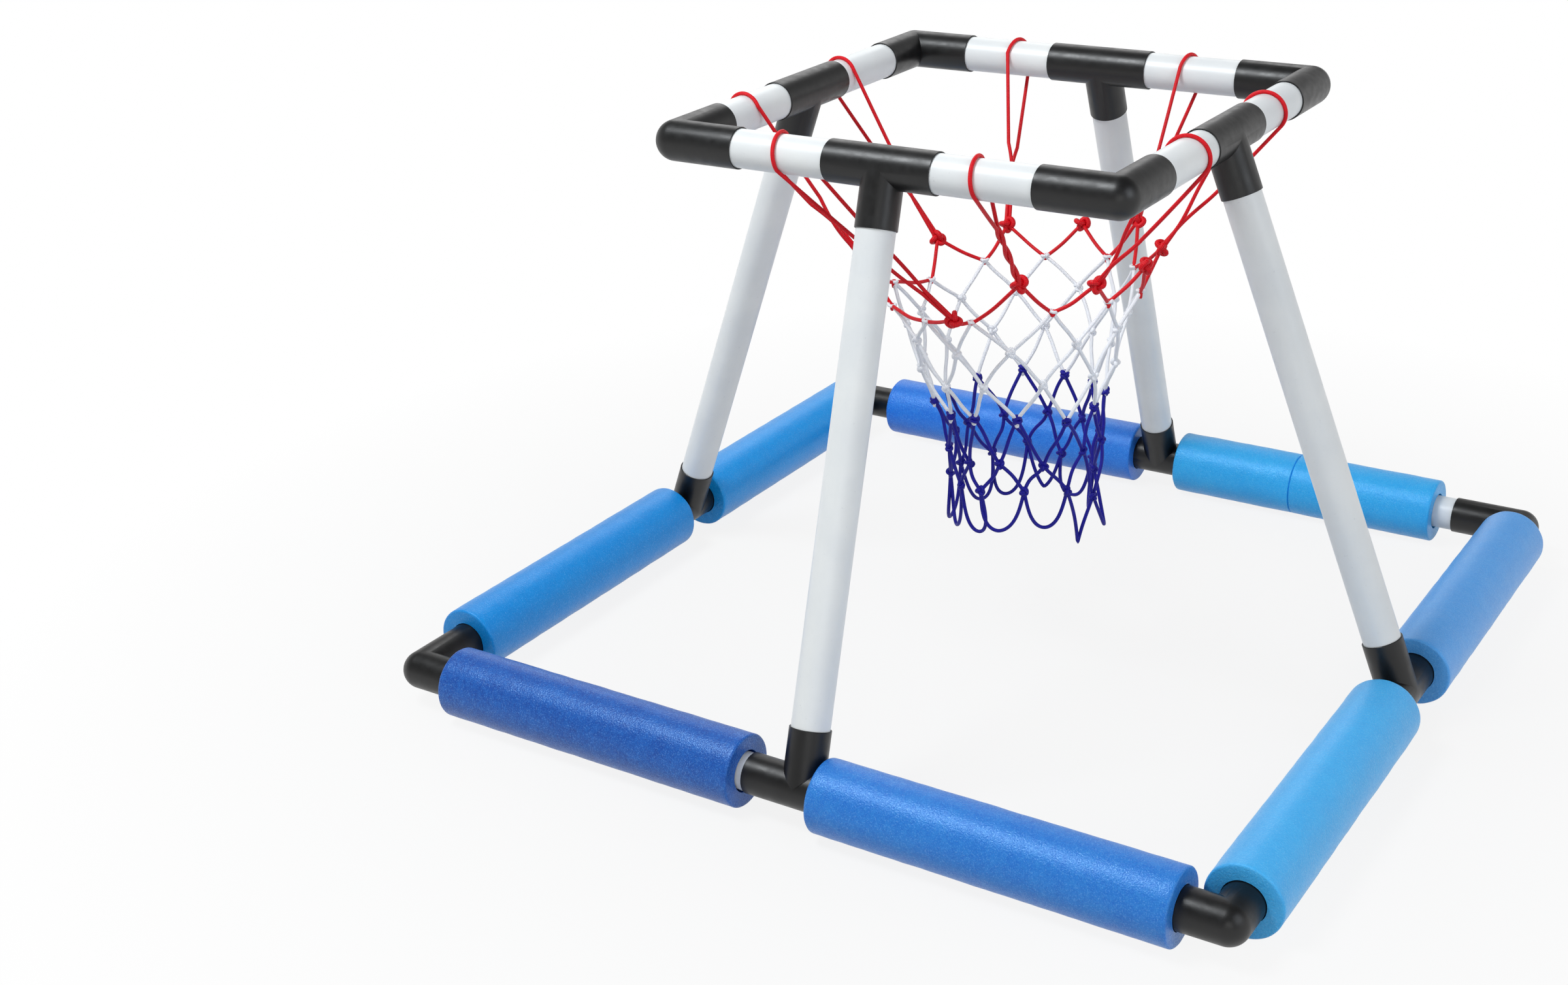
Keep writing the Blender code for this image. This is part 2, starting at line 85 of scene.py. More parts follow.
UP = Vector((0, 0, 1))
SIDES = {
    "front": (Vector((0, -1, 0)), Vector((1, 0, 0)), ("left", "right")),
    "right": (Vector((1, 0, 0)), Vector((0, 1, 0)), ("front", "back")),
    "back": (Vector((0, 1, 0)), Vector((1, 0, 0)), ("left", "right")),
    "left": (Vector((-1, 0, 0)), Vector((0, 1, 0)), ("front", "back")),
}
CORNERS = {"front_left": (1, 1), "front_right": (-1, 1), "back_right": (-1, -1), "back_left": (1, -1)}
LEVELS = {"base": (BASE_HALF, BASE_HEIGHT), "top": (TOP_HALF, TOP_HEIGHT)}


def tee_centre(level, side):
    """Where the axes of a tee cross."""
    outward, along, _ = SIDES[side]
    half, height = LEVELS[level]
    shift = BASE_TEE_SHIFT[side] if level == "base" else 0
    return outward * half + along * shift + UP * height


def placing_for(location, axis, reference):
    """Matrix that puts local Z along the axis and local X towards the reference."""
    z = axis.normalized()
    x = (reference - z * reference.dot(z)).normalized()
    turn = Matrix((x, z.cross(x), z)).transposed().to_4x4()
    return Matrix.Translation(location) @ turn


print(f"base square {2 * BASE_HALF:.3f} m, top square {2 * TOP_HALF:.3f} m, top at {TOP_HEIGHT:.3f} m")

# %% [markdown]
# ## Camera
# The viewpoint was found by fitting a pinhole camera to the straight edges of the pipes. It stands in
# front and to the right, a good arm's length above the water.

# %% Camera
SENSOR_WIDTH = 36
LENS_LENGTH = 47.33
CAMERA_PLACE = Vector((0.62572, -1.21289, 0.70849))
CAMERA_RIGHT = Vector((0.83879916, 0.54333207, -0.03473074))
CAMERA_UP = Vector((-0.19208528, 0.35502501, 0.91491010))
scene = bpy.context.scene


def put_in(name, content):
    """New object in the scene with a camera, a lamp or a mesh as its content."""
    made = bpy.data.objects.new(name, content)
    scene.collection.objects.link(made)
    return made


camera = put_in("camera", bpy.data.cameras.new("camera"))
scene.camera = camera
camera.data.sensor_width = SENSOR_WIDTH
camera.data.lens = LENS_LENGTH
camera_axes = Matrix((CAMERA_RIGHT, CAMERA_UP, CAMERA_RIGHT.cross(CAMERA_UP))).transposed()
camera.matrix_world = Matrix.Translation(CAMERA_PLACE) @ camera_axes.to_4x4()
print(f"camera {CAMERA_PLACE.length:.2f} m from the middle of the base")

# %% [markdown]
# ## Helpers for node trees
# A material and a Geometry Nodes tree are both built from nodes and links. These small helpers add a
# node, set or link its inputs, and give back what the next node needs.


# %% Node helpers
def feed(tree, node, inputs):
    """Link each input of a node to a socket or a node's first output, or set its value."""
    for key, value in inputs.items():
        if isinstance(value, bpy.types.Node):
            value = value.outputs[0]
        if isinstance(value, bpy.types.NodeSocket):
            tree.links.new(value, node.inputs[key])
        else:
            node.inputs[key].default_value = value


def add_node(tree, kind, inputs=None, **settings):
    """Add one node with its settings, and feed its inputs."""
    made = tree.nodes.new(kind)
    for name, value in settings.items():
        setattr(made, name, value)
    feed(tree, made, inputs or {})
    return made


def calculate(tree, operation, first, second=0.0):
    """One sum on two values or sockets."""
    return add_node(tree, "ShaderNodeMath", {0: first, 1: second}, operation=operation).outputs[0]


def plus(tree, first, second):
    """First value plus second."""
    return calculate(tree, "ADD", first, second)


def times(tree, first, second):
    """First value times second."""
    return calculate(tree, "MULTIPLY", first, second)


def noise(tree, coordinates, per_metre, detail=2.0):
    """Soft random pattern between 0 and 1, with so many blotches to the metre."""
    inputs = {"Vector": coordinates, "Scale": per_metre, "Detail": detail}
    return add_node(tree, "ShaderNodeTexNoise", inputs).outputs[0]


def spread(tree, value, low, high, to_low, to_high):
    """Stretch the values from low to high over another range."""
    inputs = {"Value": value, "From Min": low, "From Max": high, "To Min": to_low, "To Max": to_high}
    return add_node(tree, "ShaderNodeMapRange", inputs).outputs[0]


def mix_colours(tree, share, first, second):
    """Blend two colours."""
    made = add_node(tree, "ShaderNodeMix", {0: share, 6: first, 7: second}, data_type="RGBA")
    return made.outputs[2]


def colour(red, green, blue):
    """Linear colour with alpha from the 0 to 255 values that a screen shows."""
    def linear(value):
        share = value / 255
        return share / 12.92 if share <= 0.04045 else ((share + 0.055) / 1.055) ** 2.4

    return (linear(red), linear(green), linear(blue), 1)


def start_material(name):
    """A new material, its tree, its shader and Object coordinates in metres."""
    material = bpy.data.materials.new(name)
    material.use_nodes = True
    tree = material.node_tree
    place = add_node(tree, "ShaderNodeTexCoord").outputs["Object"]
    return material, tree, tree.nodes["Principled BSDF"], place


def bump(tree, height, distance, strength):
    """Normals that tilt the light on the surface by a height pattern."""
    inputs = {"Height": height, "Distance": distance, "Strength": strength}
    return add_node(tree, "ShaderNodeBump", inputs).outputs[0]


# %% [markdown]
# ## Studio
# The hoop is shown on a plain white floor that keeps a light shadow under it. The walls of the room
# are white, the one in front gives less light, which keeps the black fittings deep, and the ceiling
# is dark. One large softbox hangs above and to the left, so that a soft highlight runs along the
# upper side of the front tubes. Weaker softboxes fill the sides. The camera sees every wall white.

# %% World, lamps and floor
WALL_LIGHT = 1.0
CEILING_LIGHT = 0.2
WALL_TOP, CEILING_EDGE = 0.12, 0.6
FRONT_WALL_SHARE = 0.6
FRONT_WALL_EDGE, SIDE_WALL_EDGE = -0.7, 0.1
scene.view_settings.view_transform = "Standard"
scene.world = bpy.data.worlds.new("studio")
scene.world.use_nodes = True
sky = scene.world.node_tree
sky.nodes.clear()
direction = add_node(sky, "ShaderNodeTexCoord").outputs["Generated"]
towards = add_node(sky, "ShaderNodeSeparateXYZ", {0: direction}).outputs
level = spread(sky, towards[2], WALL_TOP, CEILING_EDGE, WALL_LIGHT, CEILING_LIGHT)
share = spread(sky, towards[1], FRONT_WALL_EDGE, SIDE_WALL_EDGE, FRONT_WALL_SHARE, 1)
share = calculate(sky, "MAXIMUM", share, add_node(sky, "ShaderNodeLightPath").outputs["Is Camera Ray"])
room = add_node(sky, "ShaderNodeBackground", {"Color": (1, 1, 1, 1), "Strength": times(sky, level, share)})
add_node(sky, "ShaderNodeOutputWorld", {"Surface": room})

# Each softbox: name, place, size both ways, power and colour
SOFTBOXES = (
    ("key", (-0.7, -0.85, 1.9), (0.8, 0.5), 28, (0.93, 0.97, 1.0)),
    ("front", (1.0, -2.0, 0.9), (1.2, 1.0), 5, (1.0, 1.0, 1.0)),
    ("side", (2.0, -0.5, 1.4), (1.3, 1.3), 14, (0.86, 0.92, 1.0)),
    ("back", (-1.2, 1.9, 1.6), (1.3, 1.3), 9, (1.0, 1.0, 1.0)),
)
AIM = Vector((0, 0, 0.2))
for name, place, (width, height), power, tint in SOFTBOXES:
    lamp = put_in(name, bpy.data.lights.new(name, "AREA"))
    lamp.data.shape = "RECTANGLE"
    lamp.data.size = width
    lamp.data.size_y = height
    lamp.data.color = tint
    lamp.data.energy = power
    lamp.location = place
    lamp.rotation_euler = (AIM - Vector(place)).to_track_quat("-Z", "Y").to_euler()

FLOOR_HALF = 12
FLOOR_DROP = 0.0004
FLOOR_GREY = 0.55
# The floor is a little less than white near the hoop, from and to these distances from its middle
SHADED_FROM, SHADED_TO, SHADED_SHARE = 0.3, 0.75, 0.86
floor_mesh = bpy.data.meshes.new("floor")
corner_signs = ((-1, -1), (1, -1), (1, 1), (-1, 1))
floor_corners = [(x * FLOOR_HALF, y * FLOOR_HALF, -FLOOR_DROP) for x, y in corner_signs]
floor_mesh.from_pydata(floor_corners, [], [(0, 1, 2, 3)])
floor = put_in("floor", floor_mesh)
floor_finish, floor_tree, floor_shader, floor_place = start_material("white_floor")
grey = (FLOOR_GREY, FLOOR_GREY, FLOOR_GREY, 1)
feed(floor_tree, floor_shader, {"Base Color": grey, "Specular IOR Level": 0.0, "Roughness": 0.9})
away = add_node(floor_tree, "ShaderNodeVectorMath", {0: floor_place}, operation="LENGTH").outputs["Value"]
whiteness = spread(floor_tree, away, SHADED_FROM, SHADED_TO, SHADED_SHARE, 1)
path = add_node(floor_tree, "ShaderNodeLightPath")
seen = calculate(floor_tree, "MAXIMUM", path.outputs["Is Camera Ray"], path.outputs["Is Glossy Ray"])
seen = calculate(floor_tree, "MAXIMUM", seen, path.outputs["Is Transmission Ray"])
white = add_node(floor_tree, "ShaderNodeEmission", {"Color": (1, 1, 1, 1), "Strength": 1.0})
layers = {0: times(floor_tree, seen, whiteness), 1: floor_shader, 2: white}
both = add_node(floor_tree, "ShaderNodeMixShader", layers)
feed(floor_tree, floor_tree.nodes["Material Output"], {"Surface": both})
floor_mesh.materials.append(floor_finish)
print(len(SOFTBOXES), "softboxes and a floor")

# %% [markdown]
# ## Finishes of the hard parts
# Extruded pipe has an even satin white with faint clouds and dust. The push-fit fittings are moulded
# in black plastic, whose fine grain breaks the highlight up. Both patterns read Object coordinates,
# so they stay at the same scale on every piece.


# %% White pipe and black fittings
# A noise stays mostly inside the first span, and nearly always inside the second
MIDDLE_SPAN, WIDE_SPAN = (0.35, 0.65), (0.3, 0.7)
DUST_SPAN, CLOUD_SPAN = (0.68, 0.78), (0.35, 0.7)
DUST_SHARE = 0.35
FINE_GRAIN_DEPTH = 0.00003
# Pattern sizes, as blotches to the metre, and the least and greatest roughness
PIPE_CLOUDS, PIPE_DUST, PIPE_SHINE, PIPE_GRAIN = 22, 520, 70, 1400
PIPE_ROUGHNESS, FITTING_ROUGHNESS = (0.30, 0.42), (0.32, 0.44)
FITTING_CLOUDS, FITTING_SHINE, FITTING_GRAIN, FITTING_WAVES = 45, 160, 1500, 260


def white_pipe_finish():
    material, tree, shader, place = start_material("white_pipe")
    clouds = spread(tree, noise(tree, place, PIPE_CLOUDS, 4), *MIDDLE_SPAN, 0, 1)
    tint = mix_colours(tree, clouds, colour(228, 231, 232), colour(236, 238, 237))
    dust = spread(tree, noise(tree, place, PIPE_DUST, 3), *DUST_SPAN, 0, DUST_SHARE)
    feed(tree, shader, {
        "Base Color": mix_colours(tree, dust, tint, colour(196, 198, 200)),
        "Roughness": spread(tree, noise(tree, place, PIPE_SHINE, 3), *WIDE_SPAN, *PIPE_ROUGHNESS),
        "Normal": bump(tree, noise(tree, place, PIPE_GRAIN, 2), FINE_GRAIN_DEPTH, 0.5),
    })
    return material


def black_fitting_finish():
    material, tree, shader, place = start_material("black_fitting")
    clouds = spread(tree, noise(tree, place, FITTING_CLOUDS, 5), *CLOUD_SPAN, 0, 1)
    grain = plus(tree, noise(tree, place, FITTING_GRAIN, 3), noise(tree, place, FITTING_WAVES, 2))
    feed(tree, shader, {
        "Base Color": mix_colours(tree, clouds, colour(6, 6, 6), colour(13, 13, 14)),
        "Roughness": spread(tree, noise(tree, place, FITTING_SHINE, 4), *WIDE_SPAN, *FITTING_ROUGHNESS),
        "Specular IOR Level": 0.5,
        "Normal": bump(tree, grain, FINE_GRAIN_DEPTH, 0.6),
    })
    return material


WHITE_PIPE = white_pipe_finish()
BLACK_FITTING = black_fitting_finish()
print("finishes:", WHITE_PIPE.name, BLACK_FITTING.name)

# %% [markdown]
# ## Turned tubes
# Pipes and floats follow one rule: an outline of radius and height, turned round an axis. Geometry
# Nodes can do that from a grid: one direction of the grid becomes the turn, and the other looks up the
# points of the outline. The same tree can ripple the surface a little, which soft foam needs.


# %% Tree that turns an outline
# Points closer than this are one point
WELD = 1e-6


def start_tree(name, inputs):
    """A Geometry Nodes group with named inputs after the geometry."""
    tree = bpy.data.node_groups.new(name, "GeometryNodeTree")
    tree.interface.new_socket("Geometry", in_out="INPUT", socket_type="NodeSocketGeometry")
    for label, kind in inputs:
        tree.interface.new_socket(label, in_out="INPUT", socket_type="NodeSocket" + kind)
    tree.interface.new_socket("Geometry", in_out="OUTPUT", socket_type="NodeSocketGeometry")
    return tree, add_node(tree, "NodeGroupInput").outputs


def end_tree(tree, geometry, material):
    """Realize what is instanced, give it its material and smooth shading, and put it out."""
    real = add_node(tree, "GeometryNodeRealizeInstances", {0: geometry})
    smooth = add_node(tree, "GeometryNodeSetShadeSmooth", {0: real})
    painted = add_node(tree, "GeometryNodeSetMaterial", {"Geometry": smooth, "Material": material})
    add_node(tree, "NodeGroupOutput", {0: painted})


def turned_tree():
    inputs = [("Sides", "Int"), ("Rows", "Int"), ("Ripple", "Float"), ("Ripples Per Metre", "Float")]
    tree, given = start_tree("turned_outline", [*inputs, ("Seed", "Float"), ("Material", "Material")])
    rows = given["Rows"]
    counts = {"Vertices X": plus(tree, given["Sides"], 1), "Vertices Y": plus(tree, rows, 1)}
    grid = add_node(tree, "GeometryNodeMeshGrid", counts)
    spots = add_node(tree, "ShaderNodeSeparateXYZ", {0: grid.outputs["UV Map"]})
    turn = times(tree, spots.outputs[0], 2 * math.pi)
    row = calculate(tree, "ROUND", times(tree, spots.outputs[1], rows))
    index = calculate(tree, "MODULO", row, rows)
    position = add_node(tree, "GeometryNodeInputPosition")
    lookup = {0: given["Geometry"], "Value": position, "Index": index}
    sample = add_node(tree, "GeometryNodeSampleIndex", lookup, data_type="FLOAT_VECTOR")
    outline = add_node(tree, "ShaderNodeSeparateXYZ", {0: sample})
    across = times(tree, outline.outputs[0], calculate(tree, "COSINE", turn))
    aside = times(tree, outline.outputs[0], calculate(tree, "SINE", turn))
    place = add_node(tree, "ShaderNodeCombineXYZ", {0: across, 1: aside, 2: outline.outputs[2]})
    placed = add_node(tree, "GeometryNodeSetPosition", {0: grid, "Position": place})
    joined = add_node(tree, "GeometryNodeMergeByDistance", {0: placed, "Distance": WELD})
    waves = {"Vector": position, "W": given["Seed"], "Scale": given["Ripples Per Metre"]}
    pattern = add_node(tree, "ShaderNodeTexNoise", waves, noise_dimensions="4D")
    lift = times(tree, calculate(tree, "SUBTRACT", pattern, 0.5), given["Ripple"])
    normal = add_node(tree, "GeometryNodeInputNormal")
    offset = add_node(tree, "ShaderNodeVectorMath", {0: normal, "Scale": lift}, operation="SCALE")
    rippled = add_node(tree, "GeometryNodeSetPosition", {0: joined, "Offset": offset})
    end_tree(tree, rippled, given["Material"])
    return tree


def run_tree(name, tree, mesh, inputs):
    """Run a tree on a mesh and give back the plain mesh that it makes."""
    carrier = put_in(name, mesh)
    modifier = carrier.modifiers.new(tree.name, "NODES")
    modifier.node_group = tree
    for item in tree.interface.items_tree:
        if item.in_out == "INPUT" and item.name in inputs:
            modifier[item.identifier] = inputs[item.name]
    bpy.context.view_layer.update()
    evaluated = carrier.evaluated_get(bpy.context.evaluated_depsgraph_get())
    made = bpy.data.meshes.new_from_object(evaluated)
    bpy.data.objects.remove(carrier)
    made.name = name
    return made


def tidy_shell(mesh, sharp_degrees):
    """Join doubles, turn every face outwards, and mark the sharp edges."""
    shape = bmesh.new()
    shape.from_mesh(mesh)
    bmesh.ops.remove_doubles(shape, verts=shape.verts, dist=WELD)
    bmesh.ops.recalc_face_normals(shape, faces=shape.faces)
    shape.to_mesh(mesh)
    shape.free()
    mesh.polygons.foreach_set("use_smooth", [True] * len(mesh.polygons))
    mesh.set_sharp_from_angle(angle=math.radians(sharp_degrees))


def show_piece(name, mesh, body, node):
    """Put a finished mesh into the scene on its body, in place of its CAD node."""
    piece = put_in(name, mesh)
    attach(piece, body)
    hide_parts(node)
    return piece


def turned_mesh(name, outline, sides, placing, material, ripple=(0.0, 1.0, 0.0)):
    """Turn a closed outline of (radius, height) and put the result in place."""
    mesh = bpy.data.meshes.new(name)
    mesh.from_pydata([(radius, 0, height) for radius, height in outline], [], [])
    inputs = {"Sides": sides, "Rows": len(outline), "Material": material}
    inputs.update(zip(("Ripple", "Ripples Per Metre", "Seed"), ripple))
    made = run_tree(name, TURNED, mesh, inputs)
    made.transform(placing)
    return made


TURNED = turned_tree()
print("tree:", TURNED.name, "with", len(TURNED.nodes), "nodes")

# %% [markdown]
# ## Pipes
# Twenty lengths of the same pipe: eight inside the floats, eight round the top, and four legs. They
# were sawn square and the cut was cleaned, so each end has a fine chamfer. Each one reaches 24 mm
# into its two fittings.

# %% Pipes
PIPE_SIDES = 64
SAW_CHAMFER = 0.0003
PIPE_SHARP_ANGLE = 30


def add_pipe(name, start, end, length):
    """Pipe of a known length, centred between two points on its axis."""
    top, low, outer, inner, cut = length / 2, -length / 2, PIPE_RADIUS, PIPE_RADIUS - PIPE_WALL, SAW_CHAMFER
    outline = [
        (outer, low + cut), (outer, top - cut), (outer - cut, top), (inner + cut, top),
        (inner, top - cut), (inner, low + cut), (inner + cut, low), (outer - cut, low),
    ]
    reference = UP if abs((end - start).z) < WELD else SIDES["front"][1]
    placing = placing_for((start + end) / 2, end - start, reference)
    mesh = turned_mesh("tube_" + name, outline, PIPE_SIDES, placing, WHITE_PIPE)
    tidy_shell(mesh, PIPE_SHARP_ANGLE)
    show_piece("tube_" + name, mesh, "frame", name)


for level, length in (("base", BASE_PIPE_LENGTH), ("top", TOP_PIPE_LENGTH)):
    for side, (outward, along, halves) in SIDES.items():
        half, height = LEVELS[level]
        for half_name, direction in zip(halves, (-1, 1)):
            elbow_mouth = outward * half + along * direction * (half - ELBOW_REACH) + UP * height
            tee_mouth = tee_centre(level, side) + along * direction * TEE_REACH
            add_pipe(f"{level}_pipe_{side}_{half_name}", elbow_mouth, tee_mouth, length)
for side in SIDES:
    length = LEG_AXIS - 2 * STEM_REACH + 2 * SOCKET_INSERTION
    add_pipe(f"leg_{side}", tee_centre("base", side), tee_centre("top", side), length)

# %% [markdown]
# ## Fittings
# An elbow or a tee is made of tubes of one size that cross. Where two such tubes cross, the seam lies
# in a plane, so the start of each tube can be worked out for every angle round it. Built like this,
# the faces of the two tubes share their seam, which a Boolean would leave ragged. The outer corner
# of an elbow is a quarter of a sphere, and each mouth ends in a thin rounded lip.

# %% Elbow and tee shells
FITTING_SIDES = 64
LIP_ROUNDING = 0.00028
ELBOW_STEPS = 12
FITTING_SHARP_ANGLE = 25
SEAM_WELD, SLIVER = 2e-6, 1e-7
X, Y = Vector((1, 0, 0)), Vector((0, 1, 0))


def ring_points(frame_axes, radius, starts):
    """Points round a tube: frame_axes are its axis and two crossing directions."""
    axis, first, second = frame_axes
    points = []
    for number in range(FITTING_SIDES):
        turn = 2 * math.pi * number / FITTING_SIDES
        across = first * radius * math.cos(turn) + second * radius * math.sin(turn)
        points.append(across + axis * starts(turn, radius))
    return points


def skin_between(shape, first, second):
    """Faces between two closed rings of points."""
    lower = [shape.verts.new(point) for point in first]
    upper = [shape.verts.new(point) for point in second]
    for number in range(len(lower)):
        after = (number + 1) % len(lower)
        shape.faces.new((lower[number], lower[after], upper[after], upper[number]))


def add_arm(shape, frame_axes, reach, starts):
    """Arm of a fitting from its seam to its mouth, round the lip, and back inside to the seam."""
    outer, inner, round_off = FITTING_RADIUS, SOCKET_RADIUS, LIP_ROUNDING

    def mouth(*_):
        return reach

    def shoulder(*_):
        return reach - round_off

    rows = [
        (outer, starts), (outer, shoulder), (outer - round_off, mouth),
        (inner + round_off / 2, mouth), (inner, shoulder), (inner, starts),
    ]
    rings = [ring_points(frame_axes, radius, row_starts) for radius, row_starts in rows]
    for first, second in zip(rings, rings[1:]):
        skin_between(shape, first, second)


def mitre(slope):
    """Start of a tube that is cut at a slope on one half and square on the other."""
    def starts(turn, radius):
        return max(0.0, radius * math.cos(turn) * slope)

    return starts


def corner_quarter(shape, radius):
    """Quarter of a sphere that closes the outside of an elbow."""
    quarter = math.pi / 2
    rings = []
    for step in range(ELBOW_STEPS + 1):
        bearing = quarter * step / ELBOW_STEPS
        ring = []
        for number in range(FITTING_SIDES // 2 + 1):
            height = -quarter + 2 * math.pi * number / FITTING_SIDES
            flat = -radius * math.cos(height)
            ring.append((flat * math.sin(bearing), flat * math.cos(bearing), radius * math.sin(height)))
        rings.append([shape.verts.new(point) for point in ring])
    for first, second in zip(rings, rings[1:]):
        for number in range(len(first) - 1):
            shape.faces.new((first[number], first[number + 1], second[number + 1], second[number]))


def finish_fitting(name, shape):
    """Turn the gathered faces into one closed mesh with its finish."""
    bmesh.ops.remove_doubles(shape, verts=shape.verts, dist=SEAM_WELD)
    bmesh.ops.dissolve_degenerate(shape, edges=shape.edges, dist=SLIVER)
    mesh = bpy.data.meshes.new(name)
    shape.to_mesh(mesh)
    shape.free()
    mesh.materials.append(BLACK_FITTING)
    tidy_shell(mesh, FITTING_SHARP_ANGLE)
    return mesh


def elbow_shell():
    """Elbow with arms along local X and Y."""
    shape = bmesh.new()
    for axis, other in ((X, Y), (Y, X)):
        add_arm(shape, (axis, other, UP), ELBOW_REACH, mitre(1))
    for radius in (FITTING_RADIUS, SOCKET_RADIUS):
        corner_quarter(shape, radius)
    return finish_fitting("elbow", shape)


def tee_shell(name, lean):
    """Tee with its run along local X. The stem leans by this share of its length towards X."""
    upright = math.sqrt(1 - lean * lean)
    shape = bmesh.new()
    for direction in (1, -1):
        add_arm(shape, (X * direction, UP, Y), TEE_REACH, mitre(upright / (1 - direction * lean)))

    def stem_seam(turn, radius):
        across = radius * math.cos(turn)
        return abs(across) * upright / (1 - math.copysign(lean, across))

    stem_axes = (Vector((lean, 0, upright)), Vector((upright, 0, -lean)), Y)
    add_arm(shape, stem_axes, STEM_REACH, stem_seam)
    return finish_fitting(name, shape)


# %% Elbows and tees in place
def show_fitting(node, mesh, placing):
    """Put a fitting in its place on the frame."""
    mesh.transform(placing)
    show_piece("fitting_" + node, mesh, "frame", node)


elbow = elbow_shell()
for level, (half, height) in LEVELS.items():
    for quarter_turns, (corner, toward) in enumerate(CORNERS.items()):
        place = Vector((-toward[0] * half, -toward[1] * half, height))
        placing = Matrix.Translation(place) @ Matrix.Rotation(quarter_turns * math.pi / 2, 4, "Z")
        show_fitting(f"{level}_elbow_{corner}", elbow.copy(), placing)
    for side, (outward, along, _) in SIDES.items():
        centre = tee_centre(level, side)
        leg_axis = (tee_centre("top" if level == "base" else "base", side) - centre).normalized()
        lean = leg_axis.dot(along)
        placing = placing_for(centre, leg_axis - along * lean, along)
        node = f"{level}_tee_{side}"
        show_fitting(node, tee_shell(node, lean), placing)
print("faces of an elbow:", len(elbow.polygons))

# %% [markdown]
# ## Foam floats
# Closed-cell foam tube has a thin shiny skin full of cells about a millimetre wide, which break the
# highlight into sparkles. Pale flecks painted into the skin's colour stand for more of these: painted
# sparkles. Where the tube was cut there is no skin: the end is duller and deeper in colour. A Voronoi
# pattern gives the cells, and the tree ripples the skin by a fraction of a millimetre, because foam
# is never quite round.


# %% Foam finishes
# Pattern sizes, as cells or blotches to the metre
FOAM_CELLS, FOAM_PATCHES, FOAM_MOTTLE, FOAM_GRAIN, CUT_CELLS = 800, 60, 330, 1300, 1500
PATCH_SPAN, PATCH_SHARE = (0.34, 0.66), 0.16
MOTTLE_SHARE, GRAIN_SHARES = 0.26, (0.1, 0.48)
FOAM_ROUGHNESS = (0.44, 0.28)
# Painted sparkles: pale flecks mixed into the skin's colour where the grain is high, in place of glints of
# the highlight. The same pale colour also tints the skin's gloss.
PAINTED_SPARKLE_SPAN, PAINTED_SPARKLE_SHARE = (0.56, 0.7), 0.16
PAINTED_SPARKLE_AND_GLOSS_TINT = colour(170, 212, 250)
SKIN_DEPTH, CUT_DEPTH = 0.00018, 0.00025
# The grain stands this much higher in the bump than the cells
GRAIN_HEIGHT = 1.5


def foam_finish(name, light, deep):
    """Foam skin in two near tones with painted sparkle flecks, and a cell pattern in its bump that breaks
    up the highlight.
    """
    material, tree, shader, place = start_material(name)
    scaled = {"Vector": place, "Scale": FOAM_CELLS}
    cells = add_node(tree, "ShaderNodeTexVoronoi", scaled, feature="SMOOTH_F1").outputs["Distance"]
    patches = spread(tree, noise(tree, place, FOAM_PATCHES, 5), *PATCH_SPAN, 0, 1)
    mottle = spread(tree, noise(tree, place, FOAM_MOTTLE, 2), *WIDE_SPAN, 0, 1)
    grain = noise(tree, place, FOAM_GRAIN, 2)
    clouds = plus(tree, times(tree, patches, PATCH_SHARE), times(tree, mottle, MOTTLE_SHARE))
    share = plus(tree, clouds, spread(tree, grain, *MIDDLE_SPAN, *GRAIN_SHARES))
    tone = mix_colours(tree, share, deep, light)
    # Pale flecks painted into the colour where the grain is high: painted sparkles
    painted_sparkles = times(tree, spread(tree, grain, *PAINTED_SPARKLE_SPAN, 0, 1), PAINTED_SPARKLE_SHARE)
    feed(tree, shader, {
        "Base Color": mix_colours(tree, painted_sparkles, tone, PAINTED_SPARKLE_AND_GLOSS_TINT),
        "Roughness": spread(tree, grain, *MIDDLE_SPAN, *FOAM_ROUGHNESS),
        "Specular IOR Level": 0.9,
        "Specular Tint": PAINTED_SPARKLE_AND_GLOSS_TINT,
        "Normal": bump(tree, plus(tree, cells, times(tree, grain, GRAIN_HEIGHT)), SKIN_DEPTH, 0.8),
    })
    return material


def cut_foam_finish(name, tone, shade):
    """Open cells of a sawn end: matt, finer and deeper in colour."""
    material, tree, shader, place = start_material(name)
    cells = noise(tree, place, CUT_CELLS, 3)
    feed(tree, shader, {
        "Base Color": mix_colours(tree, spread(tree, cells, *WIDE_SPAN, 0, 1), shade, tone),
        "Roughness": 0.85,
        "Normal": bump(tree, cells, CUT_DEPTH, 0.8),
    })
    return material


# Each float: its finish slot, and the light and deep tones of its skin
FLOAT_TONES = {
    "front_left": ("foam_royal", (30, 110, 202), (8, 46, 142)),
    "front_right": ("foam_azure", (54, 144, 224), (22, 98, 200)),
    "right_front": ("foam_sky", (76, 190, 250), (64, 168, 238)),
    "right_back": ("foam_sky", (94, 178, 248), (78, 156, 236)),
    "back_left": ("foam_azure", (52, 146, 242), (24, 96, 216)),
    "back_right": ("foam_sky", (64, 190, 250), (30, 160, 238)),
    "left_front": ("foam_teal", (4, 150, 230), (0, 130, 214)),
    "left_back": ("foam_teal", (6, 164, 244), (0, 144, 230)),
}
CUT_TONE_SHARES = (0.9, 0.66)
print("foam tones:", len(FLOAT_TONES))

# %% Floats
FLOAT_SIDES = 72
FLOAT_ROW = 0.003
EDGE_ROUNDING = 0.0016
EDGE_STEPS = 4
FLOAT_SHARP_ANGLE = 50
# A face that looks along the tube by more than this belongs to its cut end
END_FACING = 0.8
FOAM_RIPPLE = 0.0009
FOAM_RIPPLES_PER_METRE = 60
# One tube is made of two lengths that meet end to end: place of the joint from the middle, as a share
FLOAT_SEAMS = {"back_right": -0.031}
SEAM_HALF_WIDTH = 0.0007
SEAM_DEPTH = 0.0012
# The rows of the outline keep this far from the joint
SEAM_ROOM = 0.00105


